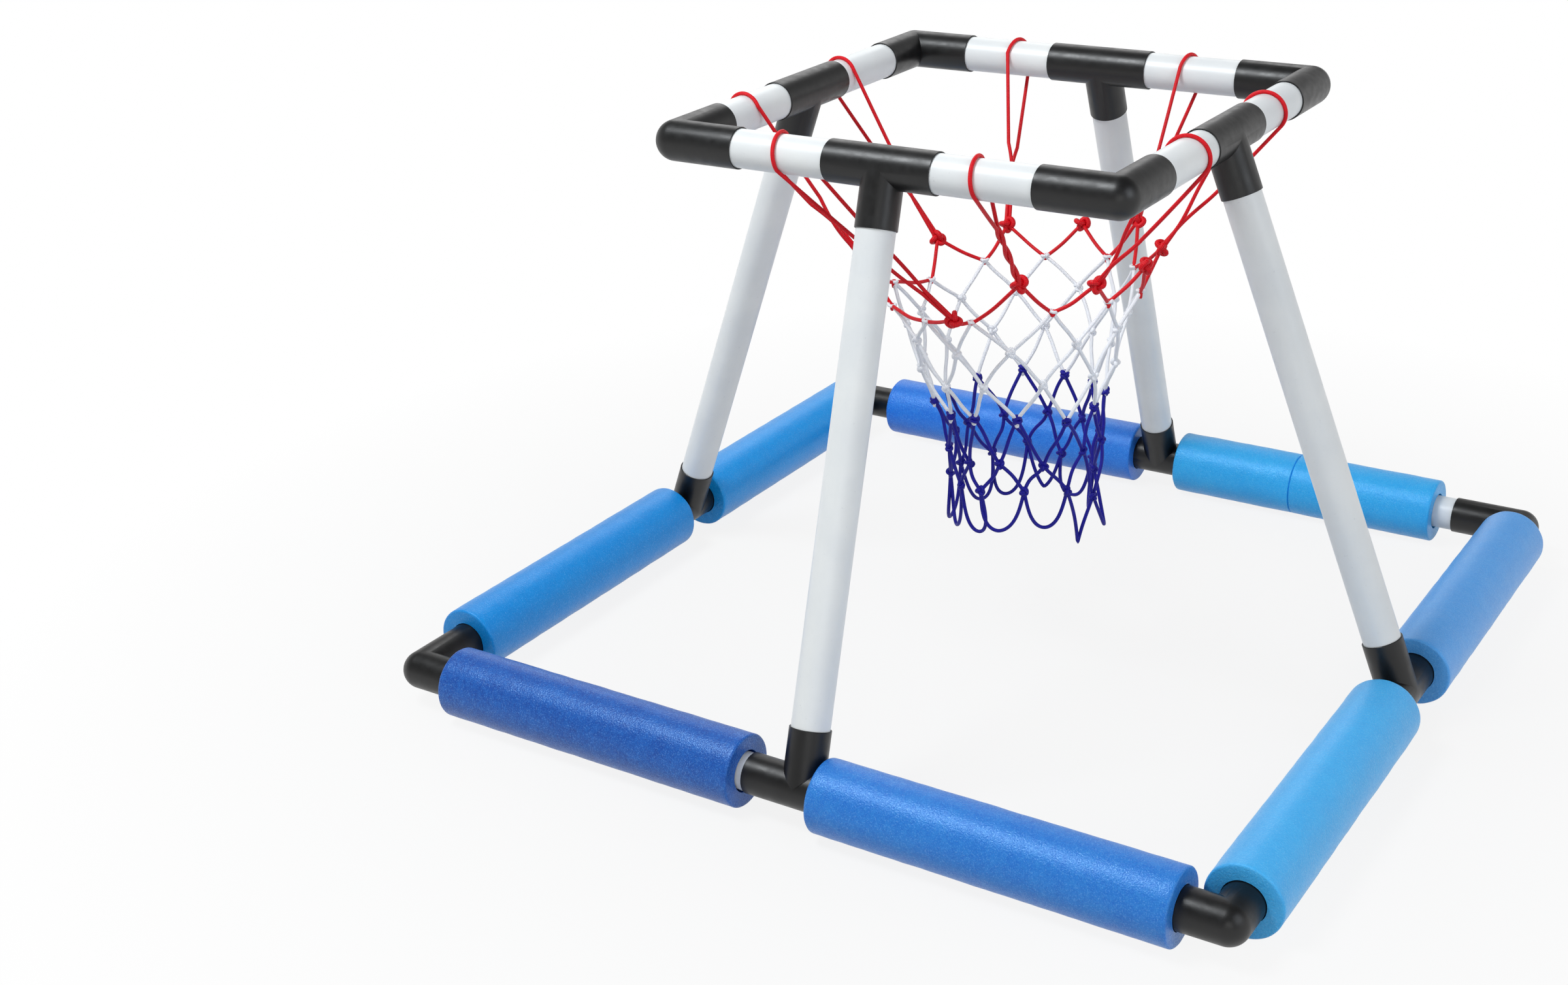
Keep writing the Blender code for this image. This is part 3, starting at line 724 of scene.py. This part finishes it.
def float_outline(length, seam):
    """Outline of a tube with rounded edges, in rows fine enough to ripple, with its joint if any."""
    half = length / 2
    rows = max(2, round((length - 2 * EDGE_ROUNDING) / FLOAT_ROW))
    shoulder, radius = half - EDGE_ROUNDING, FLOAT_RADIUS - EDGE_ROUNDING
    side = [(FLOAT_RADIUS, -shoulder + 2 * shoulder * row / rows) for row in range(rows + 1)]
    if seam is not None:
        joint = seam * length
        below = [point for point in side if point[1] < joint - SEAM_ROOM]
        above = [point for point in side if point[1] > joint + SEAM_ROOM]
        groove = [(FLOAT_RADIUS, joint - SEAM_HALF_WIDTH), (FLOAT_RADIUS - SEAM_DEPTH, joint)]
        side = [*below, *groove, (FLOAT_RADIUS, joint + SEAM_HALF_WIDTH), *above]
    edge = []
    for step in range(1, EDGE_STEPS + 1):
        turn = math.pi / 2 * step / EDGE_STEPS
        edge.append((radius + EDGE_ROUNDING * math.cos(turn), shoulder + EDGE_ROUNDING * math.sin(turn)))
    face = (FLOAT_BORE_RADIUS + radius) / 2
    top = [*edge, (face, half), (FLOAT_BORE_RADIUS, half)]
    low = [(r, -z) for r, z in reversed(top)]
    return [*side, *top, *low]


for number, (where, (slot, light, deep)) in enumerate(FLOAT_TONES.items()):
    node = "float_" + where
    low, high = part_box(node)
    along = SIDES[where.split("_")[0]][1]
    length = (high - low).dot(along)
    centre = (low + high) / 2
    skin = foam_finish("foam_" + where, colour(*light), colour(*deep))
    cut_tones = [colour(*[share * part for part in deep]) for share in CUT_TONE_SHARES]
    cut = cut_foam_finish("cut_foam_" + where, *cut_tones)
    placing = placing_for(centre, along, UP)
    outline = float_outline(length, FLOAT_SEAMS.get(where))
    ripple = (FOAM_RIPPLE, FOAM_RIPPLES_PER_METRE, number + 0.5)
    mesh = turned_mesh("foam_" + where, outline, FLOAT_SIDES, placing, skin, ripple)
    tidy_shell(mesh, FLOAT_SHARP_ANGLE)
    mesh.materials.append(cut)
    for face in mesh.polygons:
        offset = face.center - centre
        off_axis = (offset - along * offset.dot(along)).length
        if abs(face.normal.dot(along)) > END_FACING or off_axis < FLOAT_BORE_RADIUS + EDGE_ROUNDING:
            face.material_index = 1
    piece = show_piece("foam_tube_" + where, mesh, node, node)
print("floats:", len(FLOAT_TONES), "with", len(mesh.polygons), "faces in the last")

# %% [markdown]
# ## Cord
# The net is knotted from braided cord 2.6 mm thick, pulled thinner where it turns round other cord.
# Each stretch of cord is first a bare route of points. A Geometry Nodes tree sweeps a circle along
# every route and stores, on each point of the new surface, where it lies round the cord and how far
# along. The finish reads that attribute, so the plaits always follow the cord.

# %% Tree that turns routes into cord
CORD_RADIUS = 0.0013
BAND_CORD_RADIUS = 0.0011
CORD_SIDES = 10
CORD_INPUTS = [("Cord Radius", "Float"), ("Sides", "Int"), ("Material", "Material")]


def swept(tree, curve, radius, sides):
    """Sweep a circle along curves, with its place round and along the cord stored on it."""
    length = add_node(tree, "GeometryNodeSplineParameter").outputs["Length"]
    kept = add_node(tree, "GeometryNodeCaptureAttribute", {0: curve})
    kept.capture_items.new("FLOAT", "Along")
    feed(tree, kept, {"Along": length})
    circle = add_node(tree, "GeometryNodeCurvePrimitiveCircle", {"Resolution": sides, "Radius": radius})
    rim = add_node(tree, "GeometryNodeCaptureAttribute", {0: circle})
    rim.capture_items.new("VECTOR", "Rim")
    feed(tree, rim, {"Rim": add_node(tree, "GeometryNodeInputPosition")})
    tube = add_node(tree, "GeometryNodeCurveToMesh", {0: kept, "Profile Curve": rim, "Fill Caps": True})
    around = add_node(tree, "ShaderNodeSeparateXYZ", {0: rim.outputs["Rim"]})
    numbers = {0: around.outputs[0], 1: around.outputs[1], 2: kept.outputs["Along"]}
    place = add_node(tree, "ShaderNodeCombineXYZ", numbers)
    inputs = {"Geometry": tube, "Name": "cord_place", "Value": place}
    return add_node(tree, "GeometryNodeStoreNamedAttribute", inputs, data_type="FLOAT_VECTOR")


def cord_tree():
    tree, given = start_tree("cord_on_routes", CORD_INPUTS)
    curve = add_node(tree, "GeometryNodeMeshToCurve", {0: given["Geometry"]})
    end_tree(tree, swept(tree, curve, given["Cord Radius"], given["Sides"]), given["Material"])
    return tree


CORD = cord_tree()
print("tree:", CORD.name, "with", len(CORD.nodes), "nodes")

# %% [markdown]
# ## Knots
# A tight overhand knot is a trefoil: the cord goes twice round its middle and dips three times under
# itself on the way. The trefoil has a short formula, so the second tree bends a circle by that
# formula, sweeps it into cord, and puts one copy on every knot point with its own turn.

# %% Tree that ties knots on points
KNOT_STEPS = 48


def knot_tree():
    inputs = [("Loop Size", "Float"), ("Depth", "Float"), *CORD_INPUTS]
    tree, given = start_tree("knots_on_points", inputs)
    circle = add_node(tree, "GeometryNodeCurvePrimitiveCircle", {"Resolution": KNOT_STEPS})
    share = add_node(tree, "GeometryNodeSplineParameter").outputs["Factor"]
    turn = times(tree, share, 2 * math.pi)
    double = times(tree, turn, 2)
    wide = times(tree, calculate(tree, "SINE", double), 2)
    tall = times(tree, calculate(tree, "COSINE", double), 2)
    across = times(tree, plus(tree, calculate(tree, "SINE", turn), wide), given["Loop Size"])
    upward = calculate(tree, "SUBTRACT", calculate(tree, "COSINE", turn), tall)
    upward = times(tree, upward, given["Loop Size"])
    dip = times(tree, calculate(tree, "SINE", times(tree, turn, 3)), given["Depth"])
    place = add_node(tree, "ShaderNodeCombineXYZ", {0: across, 1: upward, 2: dip})
    bent = add_node(tree, "GeometryNodeSetPosition", {0: circle, "Position": place})
    knot = swept(tree, bent, given["Cord Radius"], given["Sides"])
    turns = add_node(tree, "GeometryNodeInputNamedAttribute", {"Name": "turn"}, data_type="FLOAT_VECTOR")
    rotation = add_node(tree, "FunctionNodeEulerToRotation", {0: turns})
    inputs = {"Points": given["Geometry"], "Instance": knot, "Rotation": rotation}
    copies = add_node(tree, "GeometryNodeInstanceOnPoints", inputs)
    end_tree(tree, copies, given["Material"])
    return tree


KNOTS = knot_tree()
print("tree:", KNOTS.name, "with", len(KNOTS.nodes), "nodes")

# %% [markdown]
# ## Cord finish
# Two sets of spirals, one each way round, make the plaits of a braid where they cross. The sum runs
# on the stored attribute: its first two numbers give the angle round the cord, and the third the
# length along it. The colour is deeper where the plaits are low, which is painted shade in the
# grooves, and it changes in blotches of wear.

# %% Braided cord in three colours
PLAITS = 4
PLAIT_PITCH = 0.0018
PLAIT_DEPTH = 0.00012
CORD_WEAR_BLOTCHES, CORD_WEAR = 240, 0.35
# From the first of these sums of plait and wear to the second, the colour goes from deep to light: painted
# shade in the grooves between plaits, and blotches of real wear
PLAIT_SHADE_AND_WEAR_SPAN = (-1.4, 0.7)


def cord_finish(name, light, deep):
    material, tree, shader, place = start_material(name)
    own = add_node(tree, "ShaderNodeAttribute", attribute_name="cord_place")
    parts = add_node(tree, "ShaderNodeSeparateXYZ", {0: own.outputs["Vector"]}).outputs
    around = times(tree, calculate(tree, "ARCTAN2", parts[1], parts[0]), PLAITS)
    along = times(tree, parts[2], 2 * math.pi / PLAIT_PITCH)
    one_way = calculate(tree, "SINE", plus(tree, around, along))
    other_way = calculate(tree, "SINE", calculate(tree, "SUBTRACT", around, along))
    plait = times(tree, one_way, other_way)
    worn = spread(tree, noise(tree, place, CORD_WEAR_BLOTCHES, 3), *WIDE_SPAN, -CORD_WEAR, CORD_WEAR)
    # Colour deeper where the plait is low: painted shade in the grooves, with wear blotches
    share = spread(tree, plus(tree, plait, worn), *PLAIT_SHADE_AND_WEAR_SPAN, 0, 1)
    feed(tree, shader, {
        "Base Color": mix_colours(tree, share, deep, light),
        "Roughness": 0.5,
        "Specular IOR Level": 0.3,
        "Normal": bump(tree, plait, PLAIT_DEPTH, 0.6),
    })
    return material


# Each cord: the tone of its plaits, and a deeper tone painted into its grooves as shade
RED_CORD = cord_finish("red_cord", colour(236, 8, 30), colour(186, 2, 16))
WHITE_CORD = cord_finish("white_cord", colour(250, 251, 254), colour(234, 237, 244))
BLUE_CORD = cord_finish("blue_cord", colour(16, 10, 158), colour(6, 2, 108))
print("cord finishes:", RED_CORD.name, WHITE_CORD.name, BLUE_CORD.name)

# %% [markdown]
# ## Routes of the net
# The net is one ring of red cord held up by eight red loops, two rows of white meshes, a row of white
# loops, two rows of blue meshes and a hem of hanging blue loops. No two stretches of a hand-tied net
# are alike, so each one bows and each knot sits a little off its row, by amounts from a seeded
# generator.

# %% Places of the knots
# Each hanger: its side, distance from the middle of that side, and the angle and height of its knot
HANGERS = (
    ("front", -0.074, -87, 0.244),
    ("front", 0.065, -61.5, 0.271),
    ("right", -0.057, -31, 0.266),
    ("right", 0.070, 25, 0.266),
    ("back", 0.068, 57, 0.270),
    ("back", -0.067, 120.5, 0.253),
    ("left", 0.049, 152, 0.248),
    ("left", -0.075, -152, 0.251),
)
JOINING_KNOTS = ((-3, 0.268), (88, 0.257))
KNOT_RING = 0.098
# Each place where the white net is wrapped on the red ring: angle, radius and height
RING_WRAPS = (
    (-163, 0.086, 0.236), (-143, 0.086, 0.229), (-109, 0.082, 0.232), (-83.5, 0.082, 0.238),
    (-46, 0.082, 0.246), (-15, 0.082, 0.245), (15, 0.086, 0.240), (41, 0.084, 0.245),
    (65, 0.082, 0.243), (102, 0.082, 0.235), (133, 0.082, 0.232), (165, 0.082, 0.225),
)
# Wraps that the ring cord passes nearly straight
STRAIGHT_WRAPS = (2, 3)
MEAN_WRAP_HEIGHT = 0.236
WHITE_KNOT_ROWS = ((0.076, 0.213), (0.068, 0.185))
LOOP_ROW = (0.058, 0.156)
BLUE_KNOT_ROWS = ((0.054, 0.124), (0.051, 0.098))
HEM_ROW = (0.046, 0.063)
# Hem knots that sit above or below their row
HEM_KNOT_LIFTS = {0: 0.007, 1: 0.010, 2: 0.004, 3: -0.010}
# Each hem loop: share of the full drop, fullness of its curve, bulge, lean along the ring, and how
# far its bottom hangs inward. A loop with a fullness near 1 is pointed, and near 2 it is round.
HEM_LOOPS = (
    (0.90, 1.9, 0.003, -0.003, 0.002), (0.82, 2.0, 0.002, 0.001, 0.002), (1.08, 1.1, -0.0022, 0.000, 0.001),
    (0.95, 1.6, -0.001, 0.003, -0.008), (0.96, 2.0, 0.001, -0.002, 0.003), (0.92, 2.3, 0.003, 0.004, 0.001),
    (0.86, 1.4, 0.001, -0.001, 0.002), (1.02, 2.0, 0.003, 0.002, 0.004), (0.94, 2.1, 0.002, -0.003, 0.003),
    (1.08, 2.2, 0.004, 0.002, -0.003), (1.04, 1.9, 0.003, -0.002, 0.001), (0.95, 2.0, 0.004, 0.004, 0.003),
)
NET_CENTRE = Vector((0.009, 0.004, 0))
HEM_DRIFT = Vector((0.009, 0.005, 0))
# Largest random shift of a knot along its row, in degrees on a ring of one metre radius
KNOT_SHIFT = 0.0684
# Largest random shift each way in the top row, and what each lower row adds
KNOT_SHAKE, SHAKE_GROWTH = 0.0017, 0.0005
# Share of the wraps' ups and downs that each row hands on to the next
LIFT_KEPT = 0.8
dice = random.Random(11)


def at(radius, height, degrees):
    """Point of the net from its radius, its height above the base pipes and its angle."""
    angle = math.radians(degrees)
    depth = (MEAN_WRAP_HEIGHT - height) / (MEAN_WRAP_HEIGHT - HEM_ROW[1])
    middle = NET_CENTRE + HEM_DRIFT * max(0.0, min(1.0, depth))
    return middle + Vector((radius * math.cos(angle), radius * math.sin(angle), height + BASE_HEIGHT))


def outward_at(place):
    """Direction away from the middle of the net at a point."""
    return Vector((place.x - NET_CENTRE.x, place.y - NET_CENTRE.y, 0)).normalized()


def around_at(place):
    """Direction round the net at a point."""
    return UP.cross(outward_at(place))


def shaken(place, amount):
    """The place moved by a random amount each way."""
    return place + Vector([dice.uniform(-amount, amount) for _ in range(3)])


def neighbours(row):
    """Each knot with the next one round, closed into a ring."""
    return list(zip(row, [*row[1:], row[0]]))


def hung_below(row_above, row):
    """Angles and lifts of the next row: each knot hangs halfway between two knots of the row above."""
    knots = []
    for (angle, lift), (next_angle, next_lift) in neighbours(row_above):
        middle = (angle + next_angle) / 2 + (180 if next_angle < angle else 0)
        shift = dice.uniform(-KNOT_SHIFT, KNOT_SHIFT) / row[0]
        knots.append((middle + shift, (lift + next_lift) / 2 * LIFT_KEPT))
    return knots


def places_of(row, knots, amount):
    """Points of one row of knots, each a little off its row."""
    return [shaken(at(row[0], row[1] + lift, angle), amount) for angle, lift in knots]


WRAPS = [at(radius, height, angle) for angle, radius, height in RING_WRAPS]
NET_ROWS = [*WHITE_KNOT_ROWS, LOOP_ROW, *BLUE_KNOT_ROWS]
row_knots = [(angle, height - MEAN_WRAP_HEIGHT) for angle, _, height in RING_WRAPS]
row_places = []
for number, row in enumerate(NET_ROWS):
    row_knots = hung_below(row_knots, row)
    row_places.append(places_of(row, row_knots, KNOT_SHAKE + SHAKE_GROWTH * number))
WHITE_KNOTS, LOOPS, BLUE_KNOTS = row_places[:2], row_places[2], row_places[3:]
for index, lift in HEM_KNOT_LIFTS.items():
    BLUE_KNOTS[-1][index] += UP * lift
RING_KNOT_SPOTS = [(angle, height) for _, _, angle, height in HANGERS] + [*JOINING_KNOTS]
RING_KNOTS = [at(KNOT_RING, height, angle) for angle, height in RING_KNOT_SPOTS]
print("knots:", len(RING_KNOTS), "red,", 2 * len(LOOPS), "white and", 3 * len(LOOPS), "blue")


# %% Shapes of single stretches
ROUTE_STEP = 0.0013
BAND_STEPS, BIGHT_STEPS = 24, 12


def strand(start, end, bow, lift=0.0):
    """Stretch of cord between two knots that bows by a random amount, with its middle lifted."""
    middle = shaken((start + end) / 2, bow) + UP * lift
    pull = shaken((start + end) / 2, bow) + UP * lift
    steps = max(4, round((end - start).length / ROUTE_STEP))
    points = []
    for step in range(steps + 1):
        t = step / steps
        first = start * (1 - t) ** 3 + middle * 3 * t * (1 - t) ** 2
        points.append(first + pull * 3 * t * t * (1 - t) + end * t**3)
    return points


def band(centre, half_size, tilt):
    """Small closed turn of cord round whatever passes through its centre."""
    around = around_at(centre)
    outward = around.cross(UP)
    points = []
    for step in range(BAND_STEPS + 1):
        turn = 2 * math.pi * step / BAND_STEPS
        side, depth = around * half_size * math.cos(turn), outward * half_size * math.sin(turn)
        points.append(centre + side + depth + UP * tilt * math.cos(turn))
    return points


def bight(centre, half_width, depth):
    """Small U of cord that shows below the band round it."""
    around = around_at(centre)
    points = []
    for step in range(BIGHT_STEPS + 1):
        turn = math.pi * step / BIGHT_STEPS
        points.append(centre - around * half_width * math.cos(turn) - UP * depth * math.sin(turn))
    side, rise = around * half_width, UP * depth / 2
    return [centre - side + rise, *points, centre + side + rise]


# %% [markdown]
# ## Red cord
# Each hanger is one piece of cord laid over its pipe. It touches the pipe over the outside and leaves
# it on two nearly straight lines that meet in the knot. One hanger is twisted one and a half times,
# as happens when a net is threaded in a hurry, and the others by less than a turn. The ring cord
# climbs to each big knot and dips where the white net pulls on it.

# %% Hangers and ring
PIPE_TOUCH = PIPE_RADIUS + CORD_RADIUS
LOOP_SPREAD = 0.006
ARC_STEPS = 40
HANGER_STEPS = 90
CLOSE_PAIR = 0.00125
HANGER_SAG = 0.0015
# Each hanger: its turns of twist, and how far down its two sides join. The twist starts at a share of
# that way, later where it is more than one turn.
TWISTS = (0.3, 1.5, 0.4, -0.35, 0.5, -0.4, 0.3, 0.4)
JOINS_AT = (0.9, 0.45, 0.95, 0.9, 0.9, 0.85, 0.9, 0.9)
TWIST_STARTS, FULL_TWIST_STARTS = 0.6, 0.93
# Ring cord: half the gap that a wrap takes, bow, sag, and depths of its bights
WRAP_HALF_GAP = 0.0011
RING_BOW, RING_LIFT = 0.0016, -0.002
RING_BIGHTS, STRAIGHT_BIGHT = (0.002, 0.0042), 0.0006


def hanger_route(hanger, knot, twist, joins_at):
    """Route up from the knot, over the pipe and back down to the knot."""
    side, station, _, _ = hanger
    outward, along, _ = SIDES[side]
    pipe = outward * TOP_HALF + along * station + UP * TOP_HEIGHT
    inward, rise = (knot - pipe).dot(-outward), (knot - pipe).dot(UP)
    bearing = math.atan2(rise, inward)
    half_open = math.acos(PIPE_TOUCH / math.hypot(inward, rise))
    arc = []
    for step in range(ARC_STEPS + 1):
        share = step / ARC_STEPS
        turn = bearing + half_open + 2 * (math.pi - half_open) * share
        radial = -outward * math.cos(turn) + UP * math.sin(turn)
        arc.append(pipe + radial * PIPE_TOUCH + along * LOOP_SPREAD * (share - 0.5))
    upper, lower = arc[0], arc[-1]
    first, second = [], []
    saddle, apart = (upper + lower) / 2, (upper - lower) / 2
    axis = (knot - saddle).normalized()
    begin = joins_at * (FULL_TWIST_STARTS if abs(twist) > 1 else TWIST_STARTS)
    for step in range(1, HANGER_STEPS + 1):
        t = step / HANGER_STEPS
        middle = saddle.lerp(knot, t) - UP * HANGER_SAG * math.sin(math.pi * t)
        width = max(CLOSE_PAIR, apart.length * (1 - t / joins_at))
        turned = max(0.0, (t - begin) / (1 - begin))
        swing = Matrix.Rotation(2 * math.pi * twist * turned, 3, axis)
        offset = swing @ (apart.normalized() * width)
        first.append(middle + offset)
        second.append(middle - offset)
    return [*reversed(first), *arc, *second]


def ring_routes():
    """Ring cord from each stop to the next: big knots up high, wraps down low."""
    stops = [(angle, place, False) for (angle, _), place in zip(RING_KNOT_SPOTS, RING_KNOTS)]
    stops += [(angle, place, True) for (angle, _, _), place in zip(RING_WRAPS, WRAPS)]
    stops.sort(key=lambda stop: stop[0])
    routes = []
    for (_, start, start_low), (_, end, end_low) in neighbours(stops):
        start_side = around_at(start) * WRAP_HALF_GAP if start_low else Vector()
        end_side = around_at(end) * WRAP_HALF_GAP if end_low else Vector()
        routes.append(strand(start + start_side, end - end_side, RING_BOW, RING_LIFT))
    for number, place in enumerate(WRAPS):
        depth = STRAIGHT_BIGHT if number in STRAIGHT_WRAPS else dice.uniform(*RING_BIGHTS)
        routes.append(bight(place, WRAP_HALF_GAP, depth))
    return routes


RED_ROUTES = [hanger_route(*given) for given in zip(HANGERS, RING_KNOTS, TWISTS, JOINS_AT)]
RED_ROUTES += ring_routes()
print("red stretches:", len(RED_ROUTES))

# %% [markdown]
# ## White and blue cord
# The white net is tied round the dips of the red ring and ends in loops. The blue net is tied round
# the bottoms of those loops. In both places the lower cord goes once round the upper one, and the
# upper cord shows as a small bight below that band.


# %% White and blue routes
HEM_STEPS = 60
# Bows of the strands in each row of meshes, from the top down
WHITE_BOWS, BLUE_BOWS = (0.0016, 0.0022, 0.0022), (0.0032, 0.0038)
# Turns of cord: size, places above what they hold, and tilt
BAND_HALF = 0.0024
WRAP_LIFTS, WRAP_TILT = (0.0006,), 0.0008
HITCH_LIFTS, HITCH_TILT = (-0.0008, 0.0016), 0.0014
LOOP_HALF_WIDTH, LOOP_BIGHTS = 0.0012, (0.002, 0.0052)


def mesh_rows(levels, bows):
    """Two strands down from each knot to the knots on either side of it in the next row."""
    routes = []
    for upper, lower, bow in zip(levels, levels[1:], bows):
        for index, place in enumerate(upper):
            routes.append(strand(place, lower[index], bow))
            routes.append(strand(place, lower[index - 1], bow))
    return routes


def turns_on(places, lifts, tilt):
    """Turns of cord at each of the lifts above each place, tilted by a random amount."""
    turns = []
    for place in places:
        for lift in lifts:
            turns.append(band(place + UP * lift, BAND_HALF, dice.uniform(-tilt, tilt)))
    return turns


def hem_routes():
    """Loops that hang from each blue knot to the next, from pointed to round."""
    routes = []
    drop = BLUE_KNOT_ROWS[-1][1] - HEM_ROW[1]
    for (start, end), loop in zip(neighbours(BLUE_KNOTS[-1]), HEM_LOOPS):
        drop_share, fullness, bulge, lean, inward = loop
        points = []
        for step in range(HEM_STEPS + 1):
            t = step / HEM_STEPS
            sag = 1 - abs(2 * t - 1) ** fullness
            place = start.lerp(end, t)
            outward = outward_at(place)
            sideways = -bulge * math.sin(2 * math.pi * t) + lean * sag
            place = place + around_at(place) * sideways - outward * inward * sag
            points.append(place - UP * drop * drop_share * sag)
        routes.append(points)
    return routes


white_bands = turns_on(WRAPS, WRAP_LIFTS, WRAP_TILT)
WHITE_ROUTES = mesh_rows([WRAPS, *WHITE_KNOTS, LOOPS], WHITE_BOWS)
WHITE_ROUTES += [bight(place, LOOP_HALF_WIDTH, dice.uniform(*LOOP_BIGHTS)) for place in LOOPS]
BLUE_ROUTES = mesh_rows([LOOPS, *BLUE_KNOTS], BLUE_BOWS) + hem_routes()
blue_bands = turns_on(LOOPS, HITCH_LIFTS, HITCH_TILT)
print("white stretches:", len(WHITE_ROUTES), " blue stretches:", len(BLUE_ROUTES))

# %% [markdown]
# ## Three pieces of netting
# Each colour becomes one mesh: its cords, its turns round the cord above it, and its knots.


# %% Cords and knots made into three pieces
def routes_mesh(name, routes, closed=False):
    """Bare edges along every route."""
    points, edges = [], []
    for route in routes:
        first = len(points)
        points.extend(route[:-1] if closed else route)
        edges.extend((index, index + 1) for index in range(first, len(points) - 1))
        if closed:
            edges.append((len(points) - 1, first))
    mesh = bpy.data.meshes.new(name)
    mesh.from_pydata(points, edges, [])
    return mesh


def knots_mesh(name, places, tilt):
    """Bare points with a turn each, so that every knot faces outwards at its own slant."""
    mesh = bpy.data.meshes.new(name)
    mesh.from_pydata(places, [], [])
    turns = mesh.attributes.new("turn", "FLOAT_VECTOR", "POINT")
    for number, place in enumerate(places):
        outward = outward_at(place)
        spin = dice.uniform(0, 2 * math.pi)
        facing = placing_for(Vector(), outward, UP) @ Matrix.Rotation(spin, 4, "Z")
        slant = Matrix.Rotation(dice.uniform(-tilt, tilt), 4, "X")
        slant = slant @ Matrix.Rotation(dice.uniform(-tilt, tilt), 4, "Y")
        turns.data[number].vector = (facing @ slant).to_euler()
    return mesh


def cord_mesh(name, tree, bare, cord, radius, sizes=None):
    """Run a cord or knot tree on bare routes or points."""
    inputs = {"Cord Radius": radius, "Sides": CORD_SIDES, "Material": cord}
    return run_tree(name, tree, bare, {**inputs, **(sizes or {})})


def tied_piece(name, cord, routes, bands, knot_sets, node):
    """One colour of the net as one mesh, in place of its CAD node."""
    parts = [cord_mesh(name, CORD, routes_mesh(name, routes), cord, CORD_RADIUS)]
    if bands:
        parts.append(cord_mesh(name, CORD, routes_mesh(name, bands, True), cord, BAND_CORD_RADIUS))
    for places, loop_size, depth, radius, tilt in knot_sets:
        sizes = {"Loop Size": loop_size, "Depth": depth}
        parts.append(cord_mesh(name, KNOTS, knots_mesh(name, places, tilt), cord, radius, sizes))
    shape = bmesh.new()
    for part in parts:
        shape.from_mesh(part)
    mesh = bpy.data.meshes.new(name)
    shape.to_mesh(mesh)
    shape.free()
    mesh.materials.append(cord)
    mesh.polygons.foreach_set("use_smooth", [True] * len(mesh.polygons))
    piece = put_in(name, mesh)
    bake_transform(piece)
    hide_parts(node)
    print(name, "has", len(mesh.polygons), "faces")


# Size, depth, cord radius and largest slant of a knot
BIG_KNOT = (0.00165, 0.0022, 0.0018, 0.6)
SMALL_KNOT = (0.00088, 0.0013, 0.0014, 0.5)
white_knots = [place for row in WHITE_KNOTS for place in row]
blue_knots = [place for row in BLUE_KNOTS for place in row]
tied_piece(
    "net_red", RED_CORD, RED_ROUTES, [], [(RING_KNOTS, *BIG_KNOT)],
    "net_hangers",
)
tied_piece(
    "net_white", WHITE_CORD, WHITE_ROUTES, white_bands, [(white_knots, *SMALL_KNOT)],
    "net_upper",
)
tied_piece(
    "net_blue", BLUE_CORD, BLUE_ROUTES, blue_bands, [(blue_knots, *SMALL_KNOT), (LOOPS, *SMALL_KNOT)],
    "net_lower",
)
